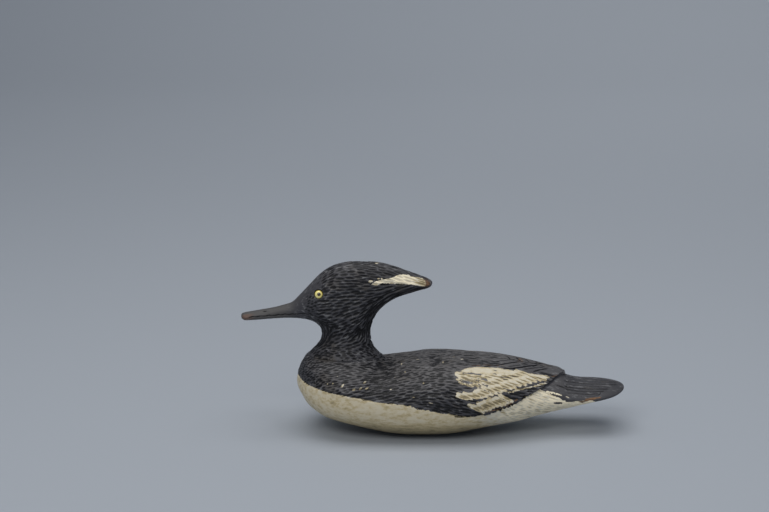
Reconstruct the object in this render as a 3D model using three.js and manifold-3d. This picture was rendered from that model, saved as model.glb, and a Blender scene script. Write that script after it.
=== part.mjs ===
// A carved wooden merganser decoy with its crest laid back. Millimetres, +Z up.
// The bill points to -X, the tail to +X. The origin is on the floor, under the middle of the length.
// Body and tail are one block of wood. The head, with the neck, bill and crest, is a second block,
// seated on a flat oval on the breast. Two glass eyes sit in drilled sockets.
import * as THREE from "three";
import { mergeVertices } from "three/addons/utils/BufferGeometryUtils.js";
import Module from "manifold-3d";

const wasm = await Module();
wasm.setup();

// Driving dimensions
const HALF_LENGTH = 178; // bill tip to tail tip is 356
const JOINT_GAP = 0.3;
const CUTTER_DEPTH = 20; // how far a cutting block reaches past what it cuts

// The flat oval on the breast that the neck stands on
const SEAT_Z = 71.3;
const SEAT_X = -82.5;
const SEAT_HALF_LENGTH = 34.3;
const SEAT_HALF_WIDTH = 27;
const SEAT_FLARE_BLEND = 3;
const SEAT_FLARE_REACH = 14; // how far behind the seat the back still rises to it
const SPIGOT = 6; // the head's blank goes this far below its seat before it is sawn off

// Glass eyes
const EYE_RADIUS = 4.2;
const EYE_X = -105.7;
const EYE_Z = 132.4;
const EYE_STANDS_OUT = 1.5;
const EYE_SIDES = 16;
const EYE_STEPS = 6;
const SOCKET_REACH = 14;

// Breast: a half oval in side view and in plan
const BREAST_X = -90;
const BREAST_PLAN_X = -60; // in plan the oval starts further back
const BREAST_TIP_X = -126.5;
const BREAST_TIP_Z = 46.5;
const BREAST_RISE = 35.5;
const BREAST_HALF_WIDTH = 58.5;

// Tail: an arched fan that ends in a half oval in plan
const TAIL_ROUND_X = 140;
const TAIL_TIP_Z = 41;
const TAIL_HALF_WIDTH = 32;
const TAIL_ARCH = 5.6; // how far the fan's sides hang below its middle
const TAIL_CROWN = 11.5; // its ridge above its sides, and its belly below them
const TAIL_BELLY = 9.2;
const TAIL_EDGE = 1; // the belly's depth near the tip
const TAIL_BLUNTNESS = 2.3;

const WING_TIP_X = 123;
const VALLEY_DEPTH = 1.6; // the groove down the middle, between the folded wings
const RING_STEPS = [8, 4, 8]; // mesh steps from the ridge to the wing's edge, the widest line and the keel

const painted = (colour, roughness) =>
  new THREE.MeshStandardMaterial({ color: colour, roughness, metalness: 0 });
const blackPaint = painted(0x2b2b2e, 0.6);
const yellowGlass = painted(0xd8b24a, 0.08);

// A smooth curve through [x, value] points that never overshoots them
function curve(...points) {
  const n = points.length;
  const slope = points.slice(1).map(([x, v], i) => (v - points[i][1]) / (x - points[i][0]));
  const tangent = points.map((_, i) => {
    if (i === 0) return slope[0];
    if (i === n - 1) return slope[n - 2];
    const [a, b] = [slope[i - 1], slope[i]];
    return a * b <= 0 ? 0 : (2 * a * b) / (a + b);
  });
  return (x) => {
    if (x <= points[0][0]) return points[0][1];
    if (x >= points[n - 1][0]) return points[n - 1][1];
    const i = points.findIndex((p) => p[0] > x) - 1;
    const width = points[i + 1][0] - points[i][0];
    const t = (x - points[i][0]) / width;
    const [t2, t3] = [t * t, t * t * t];
    return (
      (2 * t3 - 3 * t2 + 1) * points[i][1] +
      (t3 - 2 * t2 + t) * width * tangent[i] +
      (3 * t2 - 2 * t3) * points[i + 1][1] +
      (t3 - t2) * width * tangent[i + 1]
    );
  };
}

const mix = THREE.MathUtils.lerp;
const smooth = THREE.MathUtils.smoothstep;

// How far round the breast or the tail's end a station is: 1 where it starts, 0 at its tip
const roundShare = (x, start, end, bluntness = 2) =>
  Math.max(0, 1 - Math.abs((x - start) / (end - start)) ** bluntness) ** (1 / bluntness);

// Body lines, each a height or half width along X
const backLine = curve(
  [-116.8, 70.6], [-110, 72.2], [-100, 73.6], [-85, 74], [-75, 73.1], [-66, 71], [-58, 68.6], [-48, 65.6],
  [-40, 66.4], [-30, 68], [-19.5, 69.6], [-4, 71.9], [10, 72.2], [25, 71.4], [36, 69.6], [47, 68.8],
  [58, 67.8], [75, 65.2], [97, 60.3], [110, 56.4], [117, 54.3], [WING_TIP_X, 51.3], [131, 48.4],
  [TAIL_ROUND_X, TAIL_TIP_Z - TAIL_ARCH + TAIL_CROWN],
);
const keelLine = curve(
  [BREAST_TIP_X, BREAST_TIP_Z], [-125.5, 42], [-121.4, 34.5], [-116.8, 27], [-109.4, 20.6], [-99, 14.7],
  [-87, 11.3], [-71, 7.4], [-54, 3.4], [-38, 0.5], [-20, -0.9], [-5, -0.9], [12, -0.4], [25, 1.2],
  [42, 4.4], [60, 7.1], [80, 10], [92, 13], [103, 15.8], [114, 18.5], [125, 21.4], [133, 23.8],
  [TAIL_ROUND_X, TAIL_TIP_Z - TAIL_ARCH - TAIL_BELLY],
);
const beamLine = curve(
  [BREAST_PLAN_X, BREAST_HALF_WIDTH], [-30, 61], [0, 61], [30, 58.5], [60, 51.5], [85, 42.5],
  [100, 37], [112, 33.8], [WING_TIP_X, 32], [TAIL_ROUND_X, TAIL_HALF_WIDTH],
);
const widestLine = curve(
  [BREAST_TIP_X, BREAST_TIP_Z], [-100, 42], [-50, 39], [0, 38], [40, 38], [80, 37.5], [105, 36],
  [WING_TIP_X, 35.4], [TAIL_ROUND_X, TAIL_TIP_Z - TAIL_ARCH],
);
const upperPower = curve([BREAST_TIP_X, 2.1], [0, 2.1], [60, 2], [110, 1.8], [TAIL_ROUND_X, 1.7]);
const lowerPower = curve(
  [BREAST_TIP_X, 2.1], [-80, 2.2], [0, 2.25], [60, 2.1], [110, 1.8], [TAIL_ROUND_X, 1.7],
);
const flareSlope = curve([-117, 2], [-100, 0.9], [-75, 0.75], [-48, 1]); // up to the rim of the neck's seat
// The paint line on the breast and side, which becomes the lower edge of the folded wing
const wingEdgeLine = curve(
  [BREAST_TIP_X, 50.2], [-105, 45.9], [-77, 41.9], [-44.5, 39.2], [-30, 36.6], [-21, 34.7], [-3, 31.6],
  [11, 28.3], [27, 27.8], [34, 28.1], [53, 30.4], [66, 34.3], [76, 38.3], [88, 43.3], [99, 47],
  [109, 50.6], [114, 52.3], [118, 52.8], [WING_TIP_X, 51], [132, 44], [TAIL_ROUND_X, 41],
);
const edgeThickness = curve([18, 0], [35, 1.2], [60, 1.8], [90, 2.6], [110, 3.2], [WING_TIP_X, 3.6]);
const backThickness = curve([28, 0], [44, 1.3], [90, 2], [110, 2.6], [WING_TIP_X, 3.4]);

// The sizes of the body's cross-section at a station
function sectionSizes(x) {
  const powers = [upperPower(x), lowerPower(x)];
  if (x >= TAIL_ROUND_X) {
    const along = (x - TAIL_ROUND_X) / (HALF_LENGTH - TAIL_ROUND_X);
    const share = roundShare(x, TAIL_ROUND_X, HALF_LENGTH, TAIL_BLUNTNESS);
    const edge = TAIL_TIP_Z - TAIL_ARCH * share ** 2;
    const bottom = edge - share * mix(TAIL_EDGE, TAIL_BELLY, (1 - along) ** 2);
    const top = edge + TAIL_CROWN * share ** 1.8;
    return { top, bottom, beam: TAIL_HALF_WIDTH * share, widest: edge, powers };
  }
  const beforeSeat = BREAST_TIP_Z + BREAST_RISE * roundShare(x, BREAST_X, BREAST_TIP_X);
  const breastBeam = BREAST_HALF_WIDTH * roundShare(x, BREAST_PLAN_X, BREAST_TIP_X);
  return {
    top: x < SEAT_X - SEAT_HALF_LENGTH ? beforeSeat : backLine(x),
    bottom: keelLine(x),
    beam: x < BREAST_PLAN_X ? breastBeam : beamLine(x),
    widest: widestLine(x),
    powers,
  };
}

// Raises a height to the slope that runs up to the rim of the neck's seat
function flared(x, y, z) {
  const rounds = Math.hypot(y / SEAT_HALF_WIDTH, (x - SEAT_X) / SEAT_HALF_LENGTH);
  const outside = Math.hypot(y, x - SEAT_X) * (1 - 1 / Math.max(rounds, 0.5));
  const slope = SEAT_Z - flareSlope(x) * outside;
  return (z + slope + Math.hypot(z - slope, SEAT_FLARE_BLEND)) / 2;
}

// One side of the cross-section, from the ridge to the keel, as many short steps
function denseSection(x, steps = 240) {
  const { top, bottom, beam, widest, powers } = sectionSizes(x);
  const nearSeat = x < SEAT_X + SEAT_HALF_LENGTH + SEAT_FLARE_REACH && x > BREAST_TIP_X + 1;
  return Array.from({ length: steps + 1 }, (_, i) => {
    const angle = (Math.PI * i) / steps;
    const [s, c] = [Math.sin(angle), Math.cos(angle)];
    const power = c > 0 ? powers[0] : powers[1];
    const y = beam * s ** (2 / power);
    const z = widest + Math.abs(c) ** (2 / power) * (c > 0 ? top - widest : bottom - widest);
    return new THREE.Vector2(y, nearSeat && c > 0 ? flared(x, y, z) : z);
  });
}

// Points evenly spaced along part of a polyline
function spaced(points, steps) {
  const path = new THREE.CurvePath();
  points.slice(1).forEach((p, i) => path.add(new THREE.LineCurve(points[i], p)));
  return path.getSpacedPoints(steps);
}

// One side of the body at a station, with the wing's thickness on it and a step at the wing's edge
function sideOfBody(x) {
  const section = denseSection(x);
  const last = section.length - 1;
  const firstBelow = (z, least, most) =>
    THREE.MathUtils.clamp(section.findIndex((p) => p.y < z), least, most);
  const { top, widest } = sectionSizes(x);
  const onFan = x > TAIL_ROUND_X;
  const edge = firstBelow(onFan ? mix(widest, top, 0.5) : wingEdgeLine(x), 4, last - 12);
  const waist = firstBelow(onFan ? widest : Math.min(widest, section[edge].y - 3), edge + 4, last - 6);
  const [upper, flank, lower] = [[0, edge], [edge, waist], [waist, last]].map(([from, to], i) =>
    spaced(section.slice(from, to + 1), RING_STEPS[i]),
  );
  const below = [...flank, ...lower.slice(1)];
  if (x > WING_TIP_X) return [...upper, ...below];
  const raised = upper.map((p, i) => {
    const before = upper[Math.max(0, i - 1)];
    const after = upper[Math.min(upper.length - 1, i + 1)];
    const outward = new THREE.Vector2(before.y - after.y, after.x - before.x).normalize();
    if (i === 0) outward.set(0, 1);
    const valley = i === 0 ? VALLEY_DEPTH * smooth(x, 36, 60) : 0;
    const thickness = mix(backThickness(x), edgeThickness(x), i / RING_STEPS[0]) - valley;
    return p.clone().addScaledVector(outward, Math.max(0, thickness));
  });
  return [...raised, ...below];
}

// The places of the body's cross-sections: close together where it rounds off or steps
function stations() {
  const round = (start, end, count) =>
    Array.from({ length: count }, (_, i) => start + (end - start) * Math.cos((Math.PI * i) / (2 * count)));
  const run = (from, to, count) => Array.from({ length: count }, (_, i) => mix(from, to, i / count));
  return [
    ...round(BREAST_X, BREAST_TIP_X, 9),
    ...run(BREAST_X, 98, 25),
    ...run(98, WING_TIP_X - 0.6, 7),
    WING_TIP_X - 0.6,
    WING_TIP_X + 0.4,
    ...run(WING_TIP_X + 5, TAIL_ROUND_X, 4),
    ...round(TAIL_ROUND_X, HALF_LENGTH, 7).reverse(),
    HALF_LENGTH,
  ].sort((a, b) => a - b);
}

// A closed skin over rings of equal length. A first or last ring with no size closes to a point.
function skin(rings) {
  const count = rings[0].length;
  const positions = rings.flat().flatMap((p) => [p.x, p.y, p.z]);
  const index = [];
  for (let i = 0; i + 1 < rings.length; i++) {
    for (let j = 0; j < count; j++) {
      const [a, b] = [i * count + j, i * count + ((j + 1) % count)];
      index.push(a, b, a + count, b, b + count, a + count);
    }
  }
  const shape = new THREE.BufferGeometry();
  shape.setAttribute("position", new THREE.Float32BufferAttribute(positions, 3));
  shape.setIndex(index);
  return shape;
}

// Shared vertices merged, and faces that closed up to nothing taken out
function merged(shape) {
  const bare = new THREE.BufferGeometry();
  bare.setAttribute("position", shape.getAttribute("position"));
  bare.setIndex(shape.getIndex());
  const whole = mergeVertices(bare, 1e-3);
  const corners = whole.getIndex().array;
  const kept = [];
  for (let i = 0; i < corners.length; i += 3) {
    const [a, b, c] = corners.slice(i, i + 3);
    if (a !== b && b !== c && a !== c) kept.push(a, b, c);
  }
  whole.setIndex(kept);
  return whole;
}

function toSolid(shape) {
  const whole = merged(shape);
  const mesh = new wasm.Mesh({
    numProp: 3,
    vertProperties: new Float32Array(whole.getAttribute("position").array),
    triVerts: new Uint32Array(whole.getIndex().array),
  });
  return new wasm.Manifold(mesh);
}

function toShape(solid) {
  const mesh = solid.getMesh();
  const shape = new THREE.BufferGeometry();
  shape.setAttribute("position", new THREE.BufferAttribute(mesh.vertProperties, 3));
  shape.setIndex(new THREE.BufferAttribute(mesh.triVerts, 1));
  return shape;
}

// A block for cutting a flat: all that lies between two heights and before an end
function cuttingBlock(low, high, end = HALF_LENGTH + CUTTER_DEPTH) {
  const start = -HALF_LENGTH - CUTTER_DEPTH;
  const block = new THREE.BoxGeometry(end - start, 2 * HALF_LENGTH, high - low);
  block.translate((start + end) / 2, 0, (low + high) / 2);
  return toSolid(block);
}

// The body and tail, cut flat under the neck and where the decoy stands
function bodyShape() {
  const rings = stations().map((x) => {
    const half = sideOfBody(x);
    const other = half.slice(1, -1).reverse();
    const place = (p, side) => new THREE.Vector3(x, side * p.x, p.y);
    return [...half.map((p) => place(p, -1)), ...other.map((p) => place(p, 1))];
  });
  const behindSeat = SEAT_X + SEAT_HALF_LENGTH + 2;
  return toShape(
    toSolid(skin(rings))
      .subtract(cuttingBlock(-CUTTER_DEPTH, 0))
      .subtract(cuttingBlock(SEAT_Z, SEAT_Z + CUTTER_DEPTH, behindSeat)),
  );
}

// The head in side view, from the bill tip over the crown and crest, down the nape, and up the throat
const headOutline = [
  [-178, 107.4], [-177.2, 110.2], [-173.5, 111.6], [-169.6, 112.3], [-158.5, 114.3], [-147.4, 116.3],
  [-136.3, 119.3], [-130.7, 121.3], [-125, 126.6], [-114, 138.3], [-102.9, 149.4], [-91.8, 156],
  [-78, 159.3], [-64, 159.6], [-50, 158.8], [-36, 155.2], [-22, 150.2], [-10, 145.8], [-4, 143.1],
  [-1, 140.2], [-2.4, 136.4], [-14, 132.2], [-25, 128.9], [-36, 124.6], [-47, 116.3], [-54, 106.8],
  [-57.8, 96.5], [-57.6, 88], [-55, 79.6], [-48.2, SEAT_Z], [-42, 65], [-40, 50], [-40, 20],
  [-125, 20], [-125, 55], [-121.5, 65], [-116.8, SEAT_Z], [-111.5, 77.1], [-105.2, 84.8],
  [-103.4, 91.5], [-104.6, 97], [-110, 102.6], [-118, 105.3], [-130.7, 106.4], [-147.4, 105.8],
  [-158.5, 104.9], [-169.6, 104.2], [-175.6, 104.4],
];
const headHalfWidth = curve(
  [-178, 3.8], [-165, 5], [-147, 5.2], [-136, 6.2], [-128, 8.6], [-120, 12], [-110, 16.3], [-100, 19],
  [-88, 20.5], [-70, 20], [-55, 18], [-40, 15.5], [-25, 12.5], [-12, 9], [-2, 6.5],
);
const headRoundness = curve(
  [-178, 4], [-150, 5.2], [-135, 6.6], [-125, 9.8], [-115, 14], [-105, 18], [-95, 20.5], [-60, 20.5],
  [-47, 18], [-36, 14.5], [-25, 10.8], [-14, 7.4], [-4, 4.2],
);
const neckHalfWidth = curve(
  [64, 34], [SEAT_Z, SEAT_HALF_WIDTH], [77, 22.8], [84, 19], [93, 17.4], [110, 18],
);
const neckRoundness = curve(
  [64, 38], [SEAT_Z, SEAT_HALF_LENGTH], [77, 29], [83, 25], [90, 22.6], [110, 22],
);

// Signed distance from the outline in side view, positive inside
function outlineDistance() {
  const control = headOutline.map(([x, z]) => new THREE.Vector3(x, z, 0));
  const points = new THREE.CatmullRomCurve3(control, true, "centripetal").getPoints(360);
  return (x, z) => {
    let [nearest, inside] = [Infinity, false];
    for (let i = 0, j = points.length - 1; i < points.length; j = i++) {
      const [a, b] = [points[j], points[i]];
      const [dx, dz] = [b.x - a.x, b.y - a.y];
      const along = ((x - a.x) * dx + (z - a.y) * dz) / (dx * dx + dz * dz || 1);
      const t = THREE.MathUtils.clamp(along, 0, 1);
      nearest = Math.min(nearest, Math.hypot(x - a.x - t * dx, z - a.y - t * dz));
      if (a.y > z !== b.y > z && x < a.x + ((z - a.y) * dx) / dz) inside = !inside;
    }
    return inside ? nearest : -nearest;
  };
}

// Below zero inside the head: a board cut to the outline, then rounded over from both faces, and sawn off
// a little below its seat
function headField() {
  const distance = outlineDistance();
  const sawn = SEAT_Z - SPIGOT;
  return (x, z) => {
    const neck = smooth(-z, -112, -92);
    const width = mix(headHalfWidth(x), neckHalfWidth(z), neck);
    const round = mix(headRoundness(x), neckRoundness(z), neck);
    const rim = 1 - Math.min(1, distance(x, z) / round);
    return (y) => Math.max(((y / width) ** 2 + rim ** 2 - 1) * Math.min(width, round) * 0.5, sawn - z);
  };
}

// Grid lines from one place to the next, each stretch with a step of its own
function gridLines(start, ...stretches) {
  const lines = [start];
  for (const [end, step] of stretches) {
    const from = lines[lines.length - 1];
    const count = Math.max(1, Math.round(Math.abs(end - from) / step));
    for (let i = 1; i <= count; i++) lines.push(mix(from, end, i / count));
  }
  return lines;
}

// The eight corners of a cell, and the pairs of them that are its edges
const CORNERS = [0, 1, 2, 3, 4, 5, 6, 7].map((c) => [c & 1, (c >> 1) & 1, (c >> 2) & 1]);
const EDGES = CORNERS.flatMap((a, p) =>
  CORNERS.filter((b, q) => q > p && a.filter((v, axis) => v !== b[axis]).length === 1).map((b) => [a, b]),
);

// A closed skin where a field crosses zero on a grid, one vertex in each cell that it crosses
function skinOfField(field, lines) {
  const [nx, ny, nz] = lines.map((places) => places.length);
  const value = new Float64Array(nx * ny * nz);
  const at = (i, j, k) => (i * ny + j) * nz + k;
  lines[0].forEach((x, i) =>
    lines[2].forEach((z, k) => {
      const column = field(x, z);
      lines[1].forEach((y, j) => (value[at(i, j, k)] = column(y)));
    }),
  );
  const vertices = [];
  const vertexOf = new Map();
  const cell = (i, j, k) => {
    const middle = new THREE.Vector3();
    let count = 0;
    for (const [a, b] of EDGES) {
      const [va, vb] = [a, b].map((c) => value[at(i + c[0], j + c[1], k + c[2])]);
      if (va < 0 === vb < 0) continue;
      const t = va / (va - vb);
      const [x, y, z] = [i, j, k].map((n, axis) =>
        mix(lines[axis][n + a[axis]], lines[axis][n + b[axis]], t),
      );
      middle.add(new THREE.Vector3(x, y, z));
      count++;
    }
    if (!count) return;
    vertexOf.set(at(i, j, k), vertices.length);
    vertices.push(settled(field, middle.divideScalar(count)));
  };
  for (let i = 0; i + 1 < nx; i++) {
    for (let j = 0; j + 1 < ny; j++) {
      for (let k = 0; k + 1 < nz; k++) cell(i, j, k);
    }
  }
  const index = [];
  const steps = [[1, 0, 0], [0, 1, 0], [0, 0, 1]];
  const faceOn = (i, j, k, axis) => {
    const step = steps[axis];
    const here = value[at(i, j, k)] < 0;
    const next = value[at(i + step[0], j + step[1], k + step[2])] < 0;
    if (here === next) return;
    const [u, v] = [steps[(axis + 1) % 3], steps[(axis + 2) % 3]];
    const around = [[0, 0], [1, 0], [1, 1], [0, 1]].map(([m, n]) =>
      vertexOf.get(at(i - m * u[0] - n * v[0], j - m * u[1] - n * v[1], k - m * u[2] - n * v[2])),
    );
    const [a, b, c, d] = here ? around : around.reverse();
    index.push(a, b, c, a, c, d);
  };
  for (let i = 1; i + 1 < nx; i++) {
    for (let j = 1; j + 1 < ny; j++) {
      for (let k = 1; k + 1 < nz; k++) [0, 1, 2].forEach((axis) => faceOn(i, j, k, axis));
    }
  }
  const shape = new THREE.BufferGeometry().setFromPoints(vertices);
  shape.setIndex(index);
  return shape;
}

// Moves a point along the field's slope until it lies on the skin
function settled(field, point) {
  const p = point.clone();
  const reach = 0.05;
  for (let i = 0; i < 4; i++) {
    const here = field(p.x, p.z)(p.y);
    const slope = new THREE.Vector3(
      field(p.x + reach, p.z)(p.y) - here,
      field(p.x, p.z)(p.y + reach) - here,
      field(p.x, p.z + reach)(p.y) - here,
    ).divideScalar(reach);
    const move = slope.multiplyScalar(-here / Math.max(slope.lengthSq(), 0.05));
    p.add(move.clampLength(0, 0.6));
  }
  return p;
}

// Grid lines for the head, closer together at the bill and where its rim is round
const headGrid = [
  gridLines(-183, [-122, 3], [3, 4.2]),
  gridLines(-34, [-22, 4.5], [-8, 3.6], [8, 2.9], [22, 3.6], [34, 4.5]),
  gridLines(56, [68, 4], [80, 3.3], [100, 4.4], [122, 2.8], [165, 4.2]),
];

// Where the head's skin is, on one side, straight out from a point in side view
function skinPoint(x, z) {
  const column = headField()(x, z);
  let [inside, outside] = [0, 40];
  for (let i = 0; i < 40; i++) {
    const middle = (inside + outside) / 2;
    if (column(middle) < 0) inside = middle;
    else outside = middle;
  }
  return new THREE.Vector3(x, inside, z);
}

// Which way an eye looks: straight out, turned halfway towards the slope of the face
function eyeAxis() {
  const here = skinPoint(EYE_X, EYE_Z);
  const ahead = skinPoint(EYE_X - 1, EYE_Z).sub(here);
  const above = skinPoint(EYE_X, EYE_Z + 1).sub(here);
  const normal = ahead.cross(above).normalize();
  return normal.add(new THREE.Vector3(0, 1, 0)).normalize();
}

const eyeDirection = eyeAxis();
const eyeCentre = skinPoint(EYE_X, EYE_Z).addScaledVector(eyeDirection, EYE_STANDS_OUT - EYE_RADIUS);

// Turns a shape made along +Y to an eye's direction and takes it there
function placeAtEye(shape, side) {
  const axis = new THREE.Vector3(eyeDirection.x, side * eyeDirection.y, eyeDirection.z);
  const turn = new THREE.Quaternion().setFromUnitVectors(new THREE.Vector3(0, 1, 0), axis);
  shape.applyQuaternion(turn);
  shape.translate(eyeCentre.x, side * eyeCentre.y, eyeCentre.z);
  return shape;
}

// An eye: a glass bead with a flat back
function eyeMesh(name, side) {
  const profile = [new THREE.Vector2(0, -EYE_RADIUS / 2)];
  for (let i = 0; i <= EYE_STEPS; i++) {
    const angle = mix(-Math.PI / 6, Math.PI / 2, i / EYE_STEPS);
    profile.push(new THREE.Vector2(EYE_RADIUS * Math.cos(angle), EYE_RADIUS * Math.sin(angle)));
  }
  profile[profile.length - 1].x = 0;
  const eye = new THREE.Mesh(placeAtEye(new THREE.LatheGeometry(profile, EYE_SIDES), side), yellowGlass);
  eye.name = name;
  return eye;
}

// The head, cut flat to sit on the body, with a drilled socket for each eye
function headShape() {
  let solid = toSolid(skinOfField(headField(), headGrid));
  solid = solid.subtract(cuttingBlock(SEAT_Z - CUTTER_DEPTH, SEAT_Z + JOINT_GAP));
  for (const side of [-1, 1]) {
    const bore = EYE_RADIUS + JOINT_GAP;
    const socket = new THREE.CylinderGeometry(bore, bore, SOCKET_REACH, EYE_SIDES);
    socket.translate(0, SOCKET_REACH / 2 - EYE_RADIUS / 2 - JOINT_GAP, 0);
    solid = solid.subtract(toSolid(placeAtEye(socket, side)));
  }
  return toShape(solid);
}

const decoy = new THREE.Group();
const body = new THREE.Mesh(bodyShape(), blackPaint);
body.name = "body";
const head = new THREE.Mesh(headShape(), blackPaint);
head.name = "head";
decoy.add(body, head, eyeMesh("right_eye", 1), eyeMesh("left_eye", -1));

export default decoy;
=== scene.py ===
# %% [markdown]
# # A carved wooden decoy of a small crested diving duck
# The real thing is two blocks of soft wood. One is the body with its folded wings and tail, the other is
# the head with its neck, bill and crest, and a glass eye is set in each side of the head. The carver
# rounded the blocks, cut every feather with a small gouge, and painted the bird black and cream. Years of
# handling have rubbed the ridges, chipped the paint and bared the wood at the thin ends.
# This script rebuilds it in the same order: smooth blocks, gouge cuts, paint, and then the glass.

# %% Load the measured model
import math

import bmesh
import bpy
import numpy as np
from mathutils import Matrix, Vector, noise
from mathutils.bvhtree import BVHTree
from mathutils.kdtree import KDTree


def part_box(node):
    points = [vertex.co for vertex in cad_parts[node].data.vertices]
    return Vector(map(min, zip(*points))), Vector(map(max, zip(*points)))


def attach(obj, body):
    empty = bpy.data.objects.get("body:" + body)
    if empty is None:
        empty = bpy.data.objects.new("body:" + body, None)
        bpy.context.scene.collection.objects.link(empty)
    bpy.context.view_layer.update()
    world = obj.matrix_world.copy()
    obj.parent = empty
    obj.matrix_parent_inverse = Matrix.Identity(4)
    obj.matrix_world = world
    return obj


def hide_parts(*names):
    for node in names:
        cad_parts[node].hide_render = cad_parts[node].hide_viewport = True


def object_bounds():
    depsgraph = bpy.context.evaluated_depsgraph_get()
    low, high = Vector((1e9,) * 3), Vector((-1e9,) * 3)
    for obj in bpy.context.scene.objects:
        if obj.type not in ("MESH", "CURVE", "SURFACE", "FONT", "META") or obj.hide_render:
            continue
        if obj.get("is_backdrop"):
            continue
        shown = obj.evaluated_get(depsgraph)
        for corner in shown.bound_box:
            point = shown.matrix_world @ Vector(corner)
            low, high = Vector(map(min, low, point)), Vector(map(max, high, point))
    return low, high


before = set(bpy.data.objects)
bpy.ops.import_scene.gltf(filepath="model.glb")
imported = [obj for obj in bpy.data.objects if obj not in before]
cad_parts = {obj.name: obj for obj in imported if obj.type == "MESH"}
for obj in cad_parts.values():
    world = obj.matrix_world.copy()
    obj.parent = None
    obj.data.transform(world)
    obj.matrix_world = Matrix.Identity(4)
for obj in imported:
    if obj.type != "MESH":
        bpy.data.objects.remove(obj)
cad_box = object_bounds()
MM = 0.001
print("CAD box in mm:", [[round(v / MM, 1) for v in corner] for corner in cad_box])

# %% Helpers for objects, materials and node trees


def put_in_scene(name, data):
    """A new object made of some data, in the scene."""
    made = bpy.data.objects.new(name, data)
    bpy.context.collection.objects.link(made)
    return made


def mesh_object(name, points, faces):
    """A new object with a mesh of those points and faces."""
    mesh = bpy.data.meshes.new(name)
    mesh.from_pydata(points, [], faces)
    return put_in_scene(name, mesh)


def material(name):
    """A new material, and its Principled shader."""
    made = bpy.data.materials.new(name)
    made.use_nodes = True
    return made, made.node_tree.nodes["Principled BSDF"]


def fill(made, inputs):
    """Fills a node's inputs, each with a value or from another node, given with its output."""
    for socket, value in inputs.items():
        if isinstance(value, tuple) and isinstance(value[0], bpy.types.Node):
            made.id_data.links.new(value[0].outputs[value[1]], made.inputs[socket])
        else:
            made.inputs[socket].default_value = value


def new_node(tree, kind, inputs=None, **settings):
    """A new node with its settings made and its inputs filled."""
    made = tree.nodes.new(kind)
    for name, value in settings.items():
        setattr(made, name, value)
    fill(made, inputs or {})
    return made


def maths(tree, operation, *values, kind="ShaderNodeMath"):
    """The result of a math node over numbers and outputs of other nodes."""
    return new_node(tree, kind, dict(enumerate(values)), operation=operation), 0


# %% [markdown]
# ## Camera, floor and light
# The photograph was taken with a long lens, from a little above the bird and square to its side. The
# camera's place was found once by laying the model's outline over the photograph. The floor runs up into
# the background in one sweep, so there is no horizon. One large soft light hangs overhead, which is why
# the shadow lies straight below. A second one in front fills the near side, a third lights the wall behind,
# and dim light from all sides reaches the belly.

# %% Camera
PITCH = math.radians(13)
LENS_MM = 100
SENSOR_MM = 36
EYE_POINT_MM = (-45.1, -1914.9, 607.0)

camera_data = bpy.data.cameras.new("camera")
camera_data.lens = LENS_MM
camera_data.sensor_width = SENSOR_MM
camera_data.clip_end = 100
camera = put_in_scene("camera", camera_data)
camera.location = [v * MM for v in EYE_POINT_MM]
camera.rotation_euler = (math.pi / 2 - PITCH, 0, 0)
bpy.context.scene.camera = camera
print("camera at", [round(v, 3) for v in camera.location], "pitch", round(math.degrees(PITCH), 1))

# %% Floor that sweeps up into the background
FLOOR_FRONT = -6.0
SWEEP_START = 2.2
SWEEP_RADIUS = 2.5
WALL_TOP = 6.0
HALF_FLOOR = 7.0
SWEEP_STEPS = 24
FLOOR_COLOUR = (0.42, 0.455, 0.5)
FLOOR_ROUGHNESS = 0.6
FLOOR_SHINE = 0.2


def sweep_profile():
    """Points (y, z) of the floor, the curve behind it and the wall."""
    points = [(FLOOR_FRONT, 0.0)]
    for i in range(SWEEP_STEPS + 1):
        turn = math.pi / 2 * i / SWEEP_STEPS
        points.append((SWEEP_START + SWEEP_RADIUS * math.sin(turn), SWEEP_RADIUS * (1 - math.cos(turn))))
    points.append((SWEEP_START + SWEEP_RADIUS, WALL_TOP))
    return points


profile = sweep_profile()
corners = [(side * HALF_FLOOR, y, z) for y, z in profile for side in (-1, 1)]
strips = [(2 * i, 2 * i + 1, 2 * i + 3, 2 * i + 2) for i in range(len(profile) - 1)]
floor = mesh_object("floor", corners, strips)
floor.data.shade_smooth()
floor_material, floor_shader = material("pale_floor")
fill(floor_shader, {"Base Color": (*FLOOR_COLOUR, 1), "Roughness": FLOOR_ROUGHNESS})
fill(floor_shader, {"Specular IOR Level": FLOOR_SHINE})
floor.data.materials.append(floor_material)
floor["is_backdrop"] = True
print("floor strips:", len(strips))

# %% Soft light
BIRD = (0.0, 0.0, 0.06)
LIGHTS = {
    "soft_box": {"place": (0.0, -0.1, 1.7), "aim": BIRD, "size": (1.7, 1.4), "watts": 15.5},
    "front_fill": {"place": (-0.7, -2.4, 2.0), "aim": BIRD, "size": (1.8, 1.2), "watts": 31},
    "back_light": {"place": (0.8, 1.9, 2.0), "aim": (0.9, 3.5, 0.2), "size": (2.2, 1.2), "watts": 20},
}
LIGHT_COLOUR = (1.0, 0.985, 0.96)
BACKGROUND_GLOW = (0.46, 0.5, 0.58)
GLOW_STRENGTH = 0.42


def area_light(name, facts):
    """A rectangular light, turned towards what it lights."""
    data = bpy.data.lights.new(name, "AREA")
    data.shape = "RECTANGLE"
    data.size, data.size_y = facts["size"]
    data.energy = facts["watts"]
    data.color = LIGHT_COLOUR
    lamp = put_in_scene(name, data)
    lamp.location = facts["place"]
    aim = Vector(facts["aim"]) - lamp.location
    lamp.rotation_euler = aim.to_track_quat("-Z", "Y").to_euler()


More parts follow.
